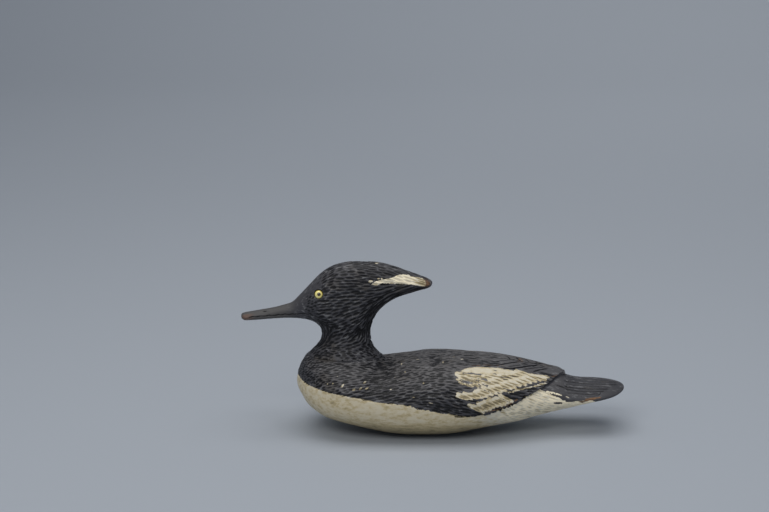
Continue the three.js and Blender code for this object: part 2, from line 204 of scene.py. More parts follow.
for name, facts in LIGHTS.items():
    area_light(name, facts)
world = bpy.data.worlds.new("studio")
world.use_nodes = True
glow = {"Color": (*BACKGROUND_GLOW, 1), "Strength": GLOW_STRENGTH}
fill(world.node_tree.nodes["Background"], glow)
bpy.context.scene.world = world
bpy.context.scene.view_settings.view_transform = "Standard"
print("lights, W:", {name: facts["watts"] for name, facts in LIGHTS.items()})

# %% [markdown]
# ## The body's block
# A carver saws the body from a board in side view and in plan, then rounds it from one end to the other.
# The same lines describe it here: the back, the keel, the half width and the height where it is widest,
# each as a smooth curve along its length. They could be read from the CAD solid, but that has flat facets
# several millimetres wide, and the light would show them. So the section is worked out again from its
# lines, as finely as the gouge cuts need, and compared with the CAD solid afterwards.

# %% Lines of the body, in millimetres
HALF_LENGTH = 178.0
SEAT_X = -82.5
SEAT_Z = 71.3
SEAT_HALF_LENGTH = 34.3
SEAT_HALF_WIDTH = 27.0
SEAT_FLARE_BLEND = 3.0
SEAT_FLARE_REACH = 14.0
BREAST_X = -90.0
BREAST_PLAN_X = -60.0
BREAST_TIP_X = -126.5
BREAST_TIP_Z = 46.5
BREAST_RISE = 35.5
BREAST_HALF_WIDTH = 58.5
TAIL_ROUND_X = 140.0
TAIL_TIP_Z = 41.0
TAIL_HALF_WIDTH = 32.0
TAIL_ARCH = 5.6
TAIL_CROWN = 11.5
TAIL_BELLY = 9.2
TAIL_EDGE = 1.0
TAIL_BLUNTNESS = 2.3
TAIL_CROWN_POWER = 1.8
WING_TIP_X = 123.0
VALLEY_DEPTH = 1.6
VALLEY_STARTS = (36, 60)
VALLEY_NARROWNESS = 8


def smooth_line(*points):
    """A curve through (x, value) points that never overshoots them, as a function."""
    xs, values = np.array(points, float).T
    slopes = np.diff(values) / np.diff(xs)
    product = slopes[:-1] * slopes[1:]
    total = np.where(product > 0, slopes[:-1] + slopes[1:], 1)
    inner = np.where(product > 0, 2 * product / total, 0)
    tangents = np.concatenate([slopes[:1], inner, slopes[-1:]])

    def value(x):
        x = np.clip(x, xs[0], xs[-1])
        i = np.clip(np.searchsorted(xs, x, side="right") - 1, 0, len(xs) - 2)
        width = xs[i + 1] - xs[i]
        t = (x - xs[i]) / width
        return (
            (2 * t**3 - 3 * t**2 + 1) * values[i]
            + (t**3 - 2 * t**2 + t) * width * tangents[i]
            + (3 * t**2 - 2 * t**3) * values[i + 1]
            + (t**3 - t**2) * width * tangents[i + 1]
        )

    return value


def smoothstep(x, low, high):
    """0 below low, 1 above high, smooth between them."""
    t = np.clip((x - low) / (high - low), 0, 1)
    return t * t * (3 - 2 * t)


def round_share(x, start, end, bluntness=2.0):
    """1 where a rounded end starts, 0 at its tip."""
    share = np.abs((x - start) / (end - start)) ** bluntness
    return np.maximum(0, 1 - share) ** (1 / bluntness)


back_line = smooth_line(
    (-116.8, 70.6), (-110, 72.2), (-100, 73.6), (-85, 74), (-75, 73.1), (-66, 71), (-58, 68.6),
    (-48, 65.6), (-40, 66.4), (-30, 68), (-19.5, 69.6), (-4, 71.9), (10, 72.2), (25, 71.4),
    (36, 69.6), (47, 68.8), (58, 67.8), (75, 65.2), (97, 60.3), (110, 56.4), (117, 54.3),
    (WING_TIP_X, 51.3), (131, 48.4), (TAIL_ROUND_X, TAIL_TIP_Z - TAIL_ARCH + TAIL_CROWN),
)
keel_line = smooth_line(
    (BREAST_TIP_X, BREAST_TIP_Z), (-125.5, 42), (-121.4, 34.5), (-116.8, 27), (-109.4, 20.6),
    (-99, 14.7), (-87, 11.3), (-71, 7.4), (-54, 3.4), (-38, 0.5), (-20, -0.9), (-5, -0.9),
    (12, -0.4), (25, 1.2), (42, 4.4), (60, 7.1), (80, 10), (92, 13), (103, 15.8), (114, 18.5),
    (125, 21.4), (133, 23.8), (TAIL_ROUND_X, TAIL_TIP_Z - TAIL_ARCH - TAIL_BELLY),
)
beam_line = smooth_line(
    (BREAST_PLAN_X, BREAST_HALF_WIDTH), (-30, 61), (0, 61), (30, 58.5), (60, 51.5), (85, 42.5),
    (100, 37), (112, 33.8), (WING_TIP_X, 32), (TAIL_ROUND_X, TAIL_HALF_WIDTH),
)
widest_line = smooth_line(
    (BREAST_TIP_X, BREAST_TIP_Z), (-100, 42), (-50, 39), (0, 38), (40, 38), (80, 37.5),
    (105, 36), (WING_TIP_X, 35.4), (TAIL_ROUND_X, TAIL_TIP_Z - TAIL_ARCH),
)
upper_power = smooth_line((BREAST_TIP_X, 2.1), (0, 2.1), (60, 2), (110, 1.8), (TAIL_ROUND_X, 1.7))
lower_power = smooth_line(
    (BREAST_TIP_X, 2.1), (-80, 2.2), (0, 2.25), (60, 2.1), (110, 1.8), (TAIL_ROUND_X, 1.7)
)
flare_slope = smooth_line((-117, 2), (-100, 0.9), (-75, 0.75), (-48, 1))
wing_edge_line = smooth_line(
    (BREAST_TIP_X, 50.2), (-105, 45.9), (-77, 41.9), (-44.5, 39.2), (-30, 36.6), (-21, 34.7),
    (-3, 31.6), (11, 28.3), (27, 27.8), (34, 28.1), (53, 30.4), (66, 34.3), (76, 38.3),
    (88, 43.3), (99, 47), (109, 50.6), (114, 52.3), (118, 52.8), (WING_TIP_X, 51), (132, 44),
    (TAIL_ROUND_X, 41),
)
edge_thickness = smooth_line((18, 0), (35, 1.2), (60, 1.8), (90, 2.6), (110, 3.2), (WING_TIP_X, 3.6))
back_thickness = smooth_line((28, 0), (44, 1.3), (90, 2), (110, 2.6), (WING_TIP_X, 3.4))
print("back at mid length, mm:", round(float(back_line(0.0)), 1))

# %% One cross-section
SECTION_STEPS = 480
LEAST_ABOVE_EDGE = 8
LEAST_BELOW_EDGE = 24


def section_sizes(x):
    """Height of the back, height of the keel, half width, and the height where it is widest."""
    if x >= TAIL_ROUND_X:
        along = (x - TAIL_ROUND_X) / (HALF_LENGTH - TAIL_ROUND_X)
        share = round_share(x, TAIL_ROUND_X, HALF_LENGTH, TAIL_BLUNTNESS)
        edge = TAIL_TIP_Z - TAIL_ARCH * share**2
        depth = TAIL_EDGE + (TAIL_BELLY - TAIL_EDGE) * (1 - along) ** 2
        crown = TAIL_CROWN * share**TAIL_CROWN_POWER
        return edge + crown, edge - share * depth, TAIL_HALF_WIDTH * share, edge
    top, beam = back_line(x), beam_line(x)
    if x < SEAT_X - SEAT_HALF_LENGTH:
        top = BREAST_TIP_Z + BREAST_RISE * round_share(x, BREAST_X, BREAST_TIP_X)
    if x < BREAST_PLAN_X:
        beam = BREAST_HALF_WIDTH * round_share(x, BREAST_PLAN_X, BREAST_TIP_X)
    return top, keel_line(x), beam, widest_line(x)


def bare_section(x):
    """One side of the block at a station, from the ridge down to the keel: y and z of each point."""
    top, keel, beam, widest = section_sizes(x)
    angle = np.pi * np.arange(SECTION_STEPS + 1) / SECTION_STEPS
    upper = np.cos(angle) > 0
    power = np.where(upper, upper_power(x), lower_power(x))
    y = beam * np.maximum(np.sin(angle), 0) ** (2 / power)
    z = widest + np.abs(np.cos(angle)) ** (2 / power) * np.where(upper, top - widest, keel - widest)
    if BREAST_TIP_X + 1 < x < SEAT_X + SEAT_HALF_LENGTH + SEAT_FLARE_REACH:
        rounds = np.hypot(y / SEAT_HALF_WIDTH, (x - SEAT_X) / SEAT_HALF_LENGTH)
        outside = np.hypot(y, x - SEAT_X) * (1 - 1 / np.maximum(rounds, 0.5))
        slope = SEAT_Z - flare_slope(x) * outside
        z = np.where(upper, (z + slope + np.hypot(z - slope, SEAT_FLARE_BLEND)) / 2, z)
    return y, z


def full_section(x):
    """The section with the folded wing's thickness on it: y, z, the distance down from the ridge,
    and the number of the last point on the wing or the black feathers."""
    y, z = bare_section(x)
    down = np.concatenate([[0], np.cumsum(np.hypot(np.diff(y), np.diff(z)))])
    if x > TAIL_ROUND_X:
        top, _, _, widest = section_sizes(x)
        edge_z = (top + widest) / 2
    else:
        edge_z = wing_edge_line(x)
    edge = int(np.clip(np.argmax(z < edge_z), LEAST_ABOVE_EDGE, SECTION_STEPS - LEAST_BELOW_EDGE))
    if x < WING_TIP_X:
        share = np.interp(down, [0, down[edge]], [0, 1])
        valley = VALLEY_DEPTH * smoothstep(x, *VALLEY_STARTS) * np.maximum(0, 1 - VALLEY_NARROWNESS * share)
        thickness = back_thickness(x) * (1 - share) + edge_thickness(x) * share - valley
        slope_y, slope_z = np.gradient(y), np.gradient(z)
        length = np.maximum(np.hypot(slope_y, slope_z), 1e-9)
        lift = np.where(np.arange(len(y)) <= edge, np.maximum(0, thickness), 0)
        y = np.maximum(0, y - lift * slope_z / length * np.where(down > 0, 1, 0))
        z = z + lift * np.where(down > 0, slope_y / length, 1)
    return y, z, down, edge


print("girth at mid length, mm:", round(2 * full_section(0.0)[2][-1]))

# %% [markdown]
# ## From sections to a skin
# The sections become a skin with one ring of points for each station. The mesh is far finer than the
# shape needs, because the gouge cuts are made in it later. A small step goes down at the wing's lower
# edge, where two points of each ring stand one above the other. Every point remembers whether it is on
# the feathered upper part, for the cuts and the paint.

# %% The body's skin
GRID_STEP = 0.62
UPPER_ARC = 86.0
LOWER_ARC = 68.0
WALL_INSET = 0.35
LOWER_COARSER = 1.25
KEEL_COARSER = 0.38
BREAST_ARC = 62
TAIL_ARC = 52
HALF_TIP_STEP = 0.12
FLAT_Z = 0.0
MERGED_WITHIN_M = 5e-6
SHORTEST_EDGE_M = 1e-6


def stations(step):
    """Places along the body, closer together where it rounds off."""
    breast_turn = np.linspace(0, math.pi / 2, int(BREAST_ARC / step), endpoint=False)
    tail_turn = np.linspace(0, math.pi / 2, int(TAIL_ARC / step) + 1)
    return np.concatenate([
        BREAST_X + (BREAST_TIP_X - BREAST_X) * np.cos(breast_turn),
        np.arange(BREAST_X, WING_TIP_X - 0.2, step),
        [WING_TIP_X - HALF_TIP_STEP, WING_TIP_X + HALF_TIP_STEP],
        np.arange(WING_TIP_X + step, TAIL_ROUND_X, step),
        TAIL_ROUND_X + (HALF_LENGTH - TAIL_ROUND_X) * np.sin(tail_turn),
    ])


def ring_of(x, step):
    """The left side's points of a ring, and whether each is feathered."""
    y, z, down, edge = full_section(x)
    upper_count, lower_count = int(UPPER_ARC / step), int(LOWER_ARC / step / LOWER_COARSER)
    upper_down = np.linspace(0, down[edge], upper_count)
    t = np.linspace(0, 1, lower_count)
    lower_down = down[edge] + (down[-1] - down[edge]) * ((1 - KEEL_COARSER) * t + KEEL_COARSER * t**2)
    upper = [np.interp(upper_down, down[: edge + 1], v[: edge + 1]) for v in (y, z)]
    base_y, base_z = bare_section(x)
    lower = [np.interp(lower_down, down, v) for v in (base_y, base_z)]
    wall_y = (upper[0][-1] + lower[0][0]) / 2 - WALL_INSET * (x < WING_TIP_X) * min(1, edge_thickness(x))
    wall_z = (upper[1][-1] + lower[1][0]) / 2
    ys = np.concatenate([upper[0], [max(0, wall_y)], lower[0]])
    zs = np.concatenate([upper[1], [wall_z], lower[1]])
    return ys, zs, np.arange(len(ys)) < upper_count


def store(made, name, values):
    """Keeps a number on each point of a mesh."""
    layer = made.data.attributes.new(name, "FLOAT", "POINT")
    layer.data.foreach_set("value", np.ascontiguousarray(values, dtype=np.float32))


def skin_object(name, rings):
    """A closed skin over rings of points."""
    rows, count = rings.shape[:2]
    index = np.arange(rows * count).reshape(rows, count)
    here, beside = index[:-1], np.roll(index[:-1], -1, axis=1)
    after, across = index[1:], np.roll(index[1:], -1, axis=1)
    faces = np.stack([here, beside, across, after], axis=-1).reshape(-1, 4)
    return mesh_object(name, (rings.reshape(-1, 3) * MM).tolist(), faces.tolist())


def close_up(made):
    """Merges doubled points and turns every face outwards."""
    work = bmesh.new()
    work.from_mesh(made.data)
    bmesh.ops.remove_doubles(work, verts=work.verts, dist=MERGED_WITHIN_M)
    bmesh.ops.dissolve_degenerate(work, edges=work.edges, dist=SHORTEST_EDGE_M)
    bmesh.ops.recalc_face_normals(work, faces=work.faces)
    open_edges = sum(not edge.is_manifold for edge in work.edges)
    work.to_mesh(made.data)
    work.free()
    print(made.name, len(made.data.vertices), "points, open or doubled edges:", open_edges)


def build_body(step):
    """The body's smooth block."""
    rings, feathered = [], []
    for x in stations(step):
        ys, zs, on_top = ring_of(x, step)
        zs = np.maximum(zs, FLAT_Z)
        if x < SEAT_X + SEAT_HALF_LENGTH + 2:
            zs = np.minimum(zs, SEAT_Z)
        left = np.stack([np.full(len(ys), x), -ys, zs], axis=1)
        right = (left * [1, -1, 1])[-2:0:-1]
        rings.append(np.concatenate([left, right]))
        feathered.append(np.concatenate([on_top, on_top[-2:0:-1]]))
    made = skin_object("body_block", np.array(rings))
    store(made, "feathered", np.concatenate(feathered))
    close_up(made)
    return made


body = build_body(GRID_STEP)

# %% Compare a block with its CAD solid
COMPARED_POINTS = 4000


def points_of(made):
    """A mesh's points in millimetres."""
    flat = np.empty(len(made.data.vertices) * 3)
    made.data.vertices.foreach_get("co", flat)
    return flat.reshape(-1, 3) / MM


def compare(made, node):
    """Prints how far a block's points lie from the CAD solid's skin."""
    work = bmesh.new()
    work.from_mesh(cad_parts[node].data)
    tree = BVHTree.FromBMesh(work)
    points = points_of(made) * MM
    some = points[:: max(1, len(points) // COMPARED_POINTS)]
    off = [tree.find_nearest(Vector(point))[3] / MM for point in some]
    work.free()
    print(node, "off the CAD skin, mm: middle", round(float(np.median(off)), 2), "most", round(max(off), 2))


compare(body, "body")

# %% [markdown]
# ## The head's block
# The head is a board cut to its outline in side view and rounded over from both faces, so the bill,
# crown, crest and neck flow into each other. That shape is a rule for a distance: at a place in side
# view, the nearer the outline, the thinner the wood. The skin is found where the rule crosses zero on a
# fine grid, with one point in each small cube that it passes through. A sculpted mesh would need many
# hand-made points to say the same.

# %% Lines of the head, in millimetres
JOINT_GAP = 0.06
NECK_ENDS = (92, 112)
HEAD_OUTLINE = [
    (-178, 107.4), (-177.2, 110.2), (-173.5, 111.6), (-169.6, 112.3), (-158.5, 114.3), (-147.4, 116.3),
    (-136.3, 119.3), (-130.7, 121.3), (-125, 126.6), (-114, 138.3), (-102.9, 149.4), (-91.8, 156),
    (-78, 159.3), (-64, 159.6), (-50, 158.8), (-36, 155.2), (-22, 150.2), (-10, 145.8), (-4, 143.1),
    (-1, 140.2), (-2.4, 136.4), (-14, 132.2), (-25, 128.9), (-36, 124.6), (-47, 116.3), (-54, 106.8),
    (-57.8, 96.5), (-57.6, 88), (-55, 79.6), (-48.2, SEAT_Z), (-42, 65), (-40, 50), (-40, 20),
    (-125, 20), (-125, 55), (-121.5, 65), (-116.8, SEAT_Z), (-111.5, 77.1), (-105.2, 84.8),
    (-103.4, 91.5), (-104.6, 97), (-110, 102.6), (-118, 105.3), (-130.7, 106.4), (-147.4, 105.8),
    (-158.5, 104.9), (-169.6, 104.2), (-175.6, 104.4),
]
head_half_width = smooth_line(
    (-178, 3.8), (-165, 5), (-147, 5.2), (-136, 6.2), (-128, 8.6), (-120, 12), (-110, 16.3), (-100, 19),
    (-88, 20.5), (-70, 20), (-55, 18), (-40, 15.5), (-25, 12.5), (-12, 9), (-2, 6.5),
)
head_roundness = smooth_line(
    (-178, 4), (-150, 5.2), (-135, 6.6), (-125, 9.8), (-115, 14), (-105, 18), (-95, 20.5), (-60, 20.5),
    (-47, 18), (-36, 14.5), (-25, 10.8), (-14, 7.4), (-4, 4.2),
)
neck_half_width = smooth_line(
    (64, 34), (SEAT_Z, SEAT_HALF_WIDTH), (77, 22.8), (84, 19), (93, 17.4), (110, 18)
)
neck_roundness = smooth_line(
    (64, 38), (SEAT_Z, SEAT_HALF_LENGTH), (77, 29), (83, 25), (90, 22.6), (110, 22)
)


def rounded_outline(points, count):
    """Even steps along a closed smooth curve through the points, with no loops at sharp corners."""
    knots = np.array(points, float)
    place = np.arange(count) * len(knots) / count
    i = place.astype(int)
    t = (place - i)[:, None]
    p0, p1, p2, p3 = (knots[(i + k) % len(knots)] for k in (-1, 0, 1, 2))
    d0, d1, d2 = (np.linalg.norm(b - a, axis=1)[:, None] ** 0.5 for a, b in ((p0, p1), (p1, p2), (p2, p3)))
    start = ((p1 - p0) / d0 - (p2 - p0) / (d0 + d1) + (p2 - p1) / d1) * d1
    end = ((p2 - p1) / d1 - (p3 - p1) / (d1 + d2) + (p3 - p2) / d2) * d1
    bend = 3 * (p2 - p1) - 2 * start - end
    twist = 2 * (p1 - p2) + start + end
    return p1 + start * t + bend * t**2 + twist * t**3


# %% How deep inside the outline a place is
MAP_STEP = 0.5
OUTLINE_STEPS = 360
MAP_LOW = np.array([-184.0, 60.0])
MAP_HIGH = np.array([6.0, 166.0])


def near_piece(u, v, start, end):
    """How far places are from a straight piece of line, and what share of it lies before them."""
    (au, av), (bu, bv) = start, end
    du, dv = bu - au, bv - av
    t = np.clip(((u - au) * du + (v - av) * dv) / (du * du + dv * dv), 0, 1)
    return np.hypot(u - au - t * du, v - av - t * dv), t


def near_line(u, v, line):
    """How far places are from a broken line through the points."""
    best = np.full(u.shape, 1e9)
    for start, end in zip(line, line[1:]):
        best = np.minimum(best, near_piece(u, v, start, end)[0])
    return best


def inside_shape(u, v, shape):
    """How far places lie inside a closed shape; below zero outside it."""
    inside = np.zeros(u.shape, bool)
    for (au, av), (bu, bv) in zip(shape, shape[1:] + shape[:1]):
        if av != bv:
            inside ^= ((av > v) != (bv > v)) & (u < au + (v - av) * (bu - au) / (bv - av))
    away = near_line(u, v, shape + shape[:1])
    return np.where(inside, away, -away)


def outline_map():
    """Signed distance from the head's outline on a grid in side view, positive inside."""
    line = rounded_outline(HEAD_OUTLINE, OUTLINE_STEPS).tolist()
    xs = np.arange(MAP_LOW[0], MAP_HIGH[0], MAP_STEP)
    zs = np.arange(MAP_LOW[1], MAP_HIGH[1], MAP_STEP)
    return inside_shape(*np.meshgrid(xs, zs, indexing="ij"), line)


depth_map = outline_map()
slope_map = np.gradient(depth_map, MAP_STEP)


def from_map(table, x, z):
    """A table's value at places in side view, between its grid lines."""
    place = np.stack(np.broadcast_arrays((x - MAP_LOW[0]) / MAP_STEP, (z - MAP_LOW[1]) / MAP_STEP))
    limit = np.array(table.shape).reshape(2, *[1] * (place.ndim - 1)) - 1.001
    place = np.clip(place, 0, limit)
    i, k = place.astype(int)
    s, t = place - np.floor(place)
    return (
        table[i, k] * (1 - s) * (1 - t)
        + table[i + 1, k] * s * (1 - t)
        + table[i, k + 1] * (1 - s) * t
        + table[i + 1, k + 1] * s * t
    )


def head_field(x, y, z):
    """Below zero inside the head, above zero outside it."""
    neck = 1 - smoothstep(z, *NECK_ENDS)
    width = head_half_width(x) * (1 - neck) + neck_half_width(z) * neck
    roundness = head_roundness(x) * (1 - neck) + neck_roundness(z) * neck
    rim = 1 - np.minimum(1, from_map(depth_map, x, z) / roundness)
    board = ((y / width) ** 2 + rim**2 - 1) * np.minimum(width, roundness) * 0.5
    return np.maximum(board, SEAT_Z + JOINT_GAP - z)


print("deepest place inside the outline, mm:", round(float(depth_map.max()), 1))

# %% The head's skin
CUBE = 0.56
HEAD_LOW = np.array([-181.0, -31.0, 68.0])
HEAD_HIGH = np.array([3.0, 31.0, 163.0])
CUBE_EDGES = [
    (a, tuple(a[k] + (k == axis) for k in range(3)), axis)
    for axis in range(3)
    for a in np.ndindex(2, 2, 2)
    if a[axis] == 0
]
SLOPE_REACH = 0.05
LONGEST_MOVE = 0.3
LEAST_SLOPE = 0.05


def skin_of_field(field, low, high, step):
    """Points and four-sided faces where a field crosses zero: one point in each cube it crosses."""
    axes = [np.arange(low[k], high[k], step) for k in range(3)]
    value = field(axes[0][:, None, None], axes[1][None, :, None], axes[2][None, None, :])
    cells = tuple(n - 1 for n in value.shape)
    total = np.zeros((*cells, 3))
    count = np.zeros(cells)
    for a, b, axis in CUBE_EDGES:
        va, vb = (value[tuple(slice(o, o + n) for o, n in zip(corner, cells))] for corner in (a, b))
        crossed = (va < 0) != (vb < 0)
        t = np.where(crossed, va / np.where(crossed, va - vb, 1), 0)
        for k in range(3):
            total[..., k] += crossed * (a[k] + (t if k == axis else 0))
        count += crossed
    used = count > 0
    number = np.full(cells, -1)
    number[used] = np.arange(used.sum())
    where = np.argwhere(used) + total[used] / count[used][:, None]
    points = where * step + [axis[0] for axis in axes]
    faces = []
    inside = value < 0
    for axis in range(3):
        u, v = (axis + 1) % 3, (axis + 2) % 3
        here = np.argwhere(np.diff(inside, axis=axis))
        here = here[(here[:, u] > 0) & (here[:, v] > 0) & (here[:, u] < cells[u]) & (here[:, v] < cells[v])]
        ring = []
        for m, n in ((0, 0), (1, 0), (1, 1), (0, 1)):
            cell = here.copy()
            cell[:, u] -= m
            cell[:, v] -= n
            ring.append(number[tuple(cell.T)])
        ring = np.stack(ring, axis=1)
        outward = inside[tuple(here.T)]
        faces.append(np.where(outward[:, None], ring, ring[:, ::-1]))
    return points, np.concatenate(faces)


def settled(field, points, rounds=3):
    """Moves points along the field's slope until they lie on its skin."""
    reach = SLOPE_REACH
    for _ in range(rounds):
        x, y, z = points.T
        here = field(x, y, z)
        slope = np.stack([field(x + reach, y, z), field(x, y + reach, z), field(x, y, z + reach)], axis=1)
        slope = (slope - here[:, None]) / reach
        move = -here[:, None] * slope / np.maximum((slope**2).sum(axis=1), LEAST_SLOPE)[:, None]
        length = np.linalg.norm(move, axis=1)[:, None]
        points = points + move * np.minimum(1, LONGEST_MOVE / np.maximum(length, 1e-9))
    return points


head_points, head_faces = skin_of_field(head_field, HEAD_LOW, HEAD_HIGH, CUBE)
on_side = head_points[:, 2] > SEAT_Z + JOINT_GAP + CUBE
head_points[on_side] = settled(head_field, head_points[on_side])
head = mesh_object("head_block", (head_points * MM).tolist(), head_faces.tolist())
close_up(head)
compare(head, "head")

# %% [markdown]
# ## Eye sockets
# A hole is drilled on each side of the head for a glass eye, and paint has softened its rim. The block's
# points near each eye's axis are pushed in along it. The axis and the centre come from the CAD bead.

# %% Press the eye sockets in
SOCKET_DEPTH = 1.9
SOCKET_RADIUS = 4.1
SOCKET_RIM = 0.7
SOCKET_REACH = 6.0
EYE_RADIUS = 4.2


def eye_place(node):
    """The centre of a CAD bead's ball and the way it looks, in millimetres."""
    low, high = (np.array(corner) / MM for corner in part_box(node))
    side = -1 if node == "left_eye" else 1
    centre = (low + high) / 2
    centre[1] = side * (max(abs(low[1]), abs(high[1])) - EYE_RADIUS)
    points = points_of(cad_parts[node])
    axis = (points.min(axis=0) + points.max(axis=0)) / 2 + points.mean(axis=0) - 2 * centre
    return centre, axis / np.linalg.norm(axis)


def press_sockets(points):
    """Points moved in along an eye's axis where they lie near it."""
    for node in ("left_eye", "right_eye"):
        centre, axis = eye_place(node)
        offset = points - centre
        height = offset @ axis
        away = np.linalg.norm(offset - height[:, None] * axis, axis=1)
        share = 1 - smoothstep(away, SOCKET_RADIUS, SOCKET_RADIUS + SOCKET_RIM)
        share = np.where((height > 0) & (height < SOCKET_REACH), share, 0)
        points = points - (share * SOCKET_DEPTH)[:, None] * axis
    return points


def move_points(made, points):
    """Puts a mesh's points at new places, given in millimetres."""
    made.data.vertices.foreach_set("co", (points * MM).reshape(-1))
    made.data.update()


for node in ("left_eye", "right_eye"):
    centre, axis = eye_place(node)
    print(node, "centre, mm:", centre.round(1).tolist(), "looks along", axis.round(2).tolist())
move_points(head, press_sockets(points_of(head)))

# %% [markdown]
# ## Gouge cuts
# The feathers are hundreds of small cuts made with a narrow gouge, each one shaped like the bowl of a
# spoon. They follow the plumage: swept back over the head towards the crest, in level rows on the breast,
# falling towards the tail on the flanks. A cut in the real wood is a piece of a curved blade's path, so
# here a small boat-shaped guide is set on the skin for each cut and the skin is pressed down to it.
# First the lay of the cuts has to be known at each point of the skin. Some lines of the photograph are
# followed closely, so a point's place in the camera's picture is worked out too.

# %% Direction along the skin
AHEAD = np.array([1.0, 0.0, 0.0])
STEEP = (0.35, 0.8)
MIX_BLUR = 12
MIX_POWER = 1.5
SEED_STEP = 17.3
# The size in millimetres and the seed of each slow noise.
NOISES = {
    "sweep": (9.0, 1), "sway": (12.0, 2), "fine": (1.6, 3), "ragged": (7.0, 4), "meeting": (1.2, 5),
    "streak": (1.3, 6), "head": (1.4, 7), "smudge": (1.5, 8), "belly": (3.0, 9), "wear": (2.5, 10),
}


def normals_of(made):
    """The outward direction at each point of a mesh."""
    flat = np.empty(len(made.data.vertices) * 3)
    made.data.vertex_normals.foreach_get("vector", flat)
    return flat.reshape(-1, 3)


def unit(v):
    """Vectors made one long."""
    return v / np.maximum(np.linalg.norm(v, axis=1), 1e-9)[:, None]


def skin_axes(points, outs):
    """At each point, the way towards the tail and the way up, both along the skin."""
    level = np.stack([outs[:, 1], -outs[:, 0], np.zeros(len(outs))], axis=1)
    level *= np.where(level[:, :1] < 0, -1, 1)
    straight = AHEAD - outs * outs[:, :1]
    steep = smoothstep(np.hypot(outs[:, 0], outs[:, 1]), *STEEP)[:, None]
    back = unit(level * steep + straight * (1 - steep))
    side = np.where(points[:, 1] < 0, 1, -1)[:, None]
    return back, side * np.cross(outs, back)


def turned(back, up, degrees):
    """The direction that many degrees up from the way towards the tail."""
    angle = np.radians(degrees)[:, None]
    return back * np.cos(angle) + up * np.sin(angle)


def drift(points, name):
    """One of the slow noises over places in space, between -1 and 1."""
    size, seed = NOISES[name]
    offset = seed * SEED_STEP
    return np.array([noise.noise(Vector(p / size) + Vector((offset, -offset, offset))) for p in points])


def nearby_mix(x, z, table):
    """Values from the table's rows, weighted towards the rows near each place in side view."""
    rows = np.array(table, float)
    away = (x[:, None] - rows[:, 0]) ** 2 + (z[:, None] - rows[:, 1]) ** 2
    weight = 1 / (away + MIX_BLUR) ** MIX_POWER
    weight /= weight.sum(axis=1)[:, None]
    return (weight @ rows[:, 2:]).T


# %% The camera's view of a point
PICTURE_WIDTH = 769
PICTURE_HEIGHT = 512


def seen(points):
    """Where the camera sees points in millimetres, across and down its picture in pixels. Both sides of
    the decoy are given the near side's place, so what is drawn on one appears on both."""
    offset = points * [1, 0, 1] - np.abs(points[:, 1:2]) * [0, 1, 0] - EYE_POINT_MM
    depth = offset[:, 1] * math.cos(PITCH) - offset[:, 2] * math.sin(PITCH)
    height = offset[:, 1] * math.sin(PITCH) + offset[:, 2] * math.cos(PITCH)
    scale = LENS_MM / SENSOR_MM * PICTURE_WIDTH / depth
    return PICTURE_WIDTH / 2 + offset[:, 0] * scale, PICTURE_HEIGHT / 2 - height * scale


u, v = seen(np.array([[64.1, -19.4, 66.3], [-155.9, -3.2, 113.5]]))
print("two known places are seen at", u.round(1).tolist(), v.round(1).tolist())

# %% Scatter cuts over a skin
SPACING = (0.7, 0.9)
ORDER_MIX = 0.5
CUT_SIZE = (0.56, 0.62)
SIZE_RANGE = (0.72, 1.25)
LEAST_DEPTH = 0.04


def search_tree(places):
    """A tree that finds the places near another one."""
    tree = KDTree(len(places))
    for i, place in enumerate(places):
        tree.insert(Vector(place), i)
    tree.balance()
    return tree


def scatter_cuts(made, lay, seed):
    """Places, directions and sizes of cuts. The lay gives for some of the points the direction, and in
    millimetres the length, the distance between rows and the depth, with nothing where no cut is made.
    The cuts are set one after another from the breast back, each as close behind the others as fits."""
    points, outs = points_of(made), normals_of(made)
    along, length, pitch, depth = lay(points, outs)
    store(made, "row_depth", depth)
    depth = np.where(np.arange(len(points)) % (2), 0, depth)
    usable = np.flatnonzero(depth > LEAST_DEPTH)
    points, outs, along = points[usable], outs[usable], along[usable]
    length, pitch, depth = length[usable], pitch[usable], depth[usable]
    across = np.cross(outs, along)
    tree = search_tree(points)
    vary = np.random.default_rng(seed)
    order = np.argsort(points[:, 0] + vary.uniform(-1, 1, len(points)) * ORDER_MIX * length)
    free = np.ones(len(points), bool)
    kept = []
    for i in order:
        if not free[i]:
            continue
        kept.append(i)
        reach = SPACING[0] * length[i]
        near = np.array([index for _, index, _ in tree.find_range(Vector(points[i]), reach)])
        step = points[near] - points[i]
        spread = (step @ along[i] / reach) ** 2 + (step @ across[i] / (SPACING[1] * pitch[i])) ** 2
        free[near[spread < 1]] = False
    size = np.stack([CUT_SIZE[0] * length, CUT_SIZE[1] * pitch, depth], axis=1)
    size *= vary.uniform(*SIZE_RANGE, (len(size), 3))
    print(made.name, len(kept), "cuts")
    return points[kept], along[kept], outs[kept], size[kept]


# %% Lay of the cuts on the head
CREST_TIP = (-2.0, 141.0)
EYE_AT = (-105.0, 133.5)
# Where each part begins and where it is in full, in side view, or inwards from the outline.
CREST_X = (-60, -30)
CHEEK_X = (-124, -116)
BEHIND_EYE_X = (-109, -98)
FACE_ABOVE = 90
CROWN_Z = (108, 122)
NECK_Z = (92, 108)
LEVEL_Z = (79, 96)
BASE_Z = (78, 86)
BY_RIM = (2, 15)
AT_RIM = (1, 8)
EYE_CLEAR = (5.0, 8.0)
HEAD_CUTS = [
    # everywhere, and what is added on the crest, on the neck and at its base
    (12.0, 3, -2, -3),  # length
    (2.6, -0.2, -0.1, -0.3),  # distance between rows
    (1.1, 0, -0.1, -0.25),  # depth
]
CHEEK_LENGTH = 5.5
CHEEK_PITCH = 2.3
CHEEK_DEPTH = 0.42
SWEEP_SWAY = 0.16
SEAT_FADE = (SEAT_Z - 0.5, SEAT_Z + 1.5)
SHALLOWER_AT_RIM = 0.5


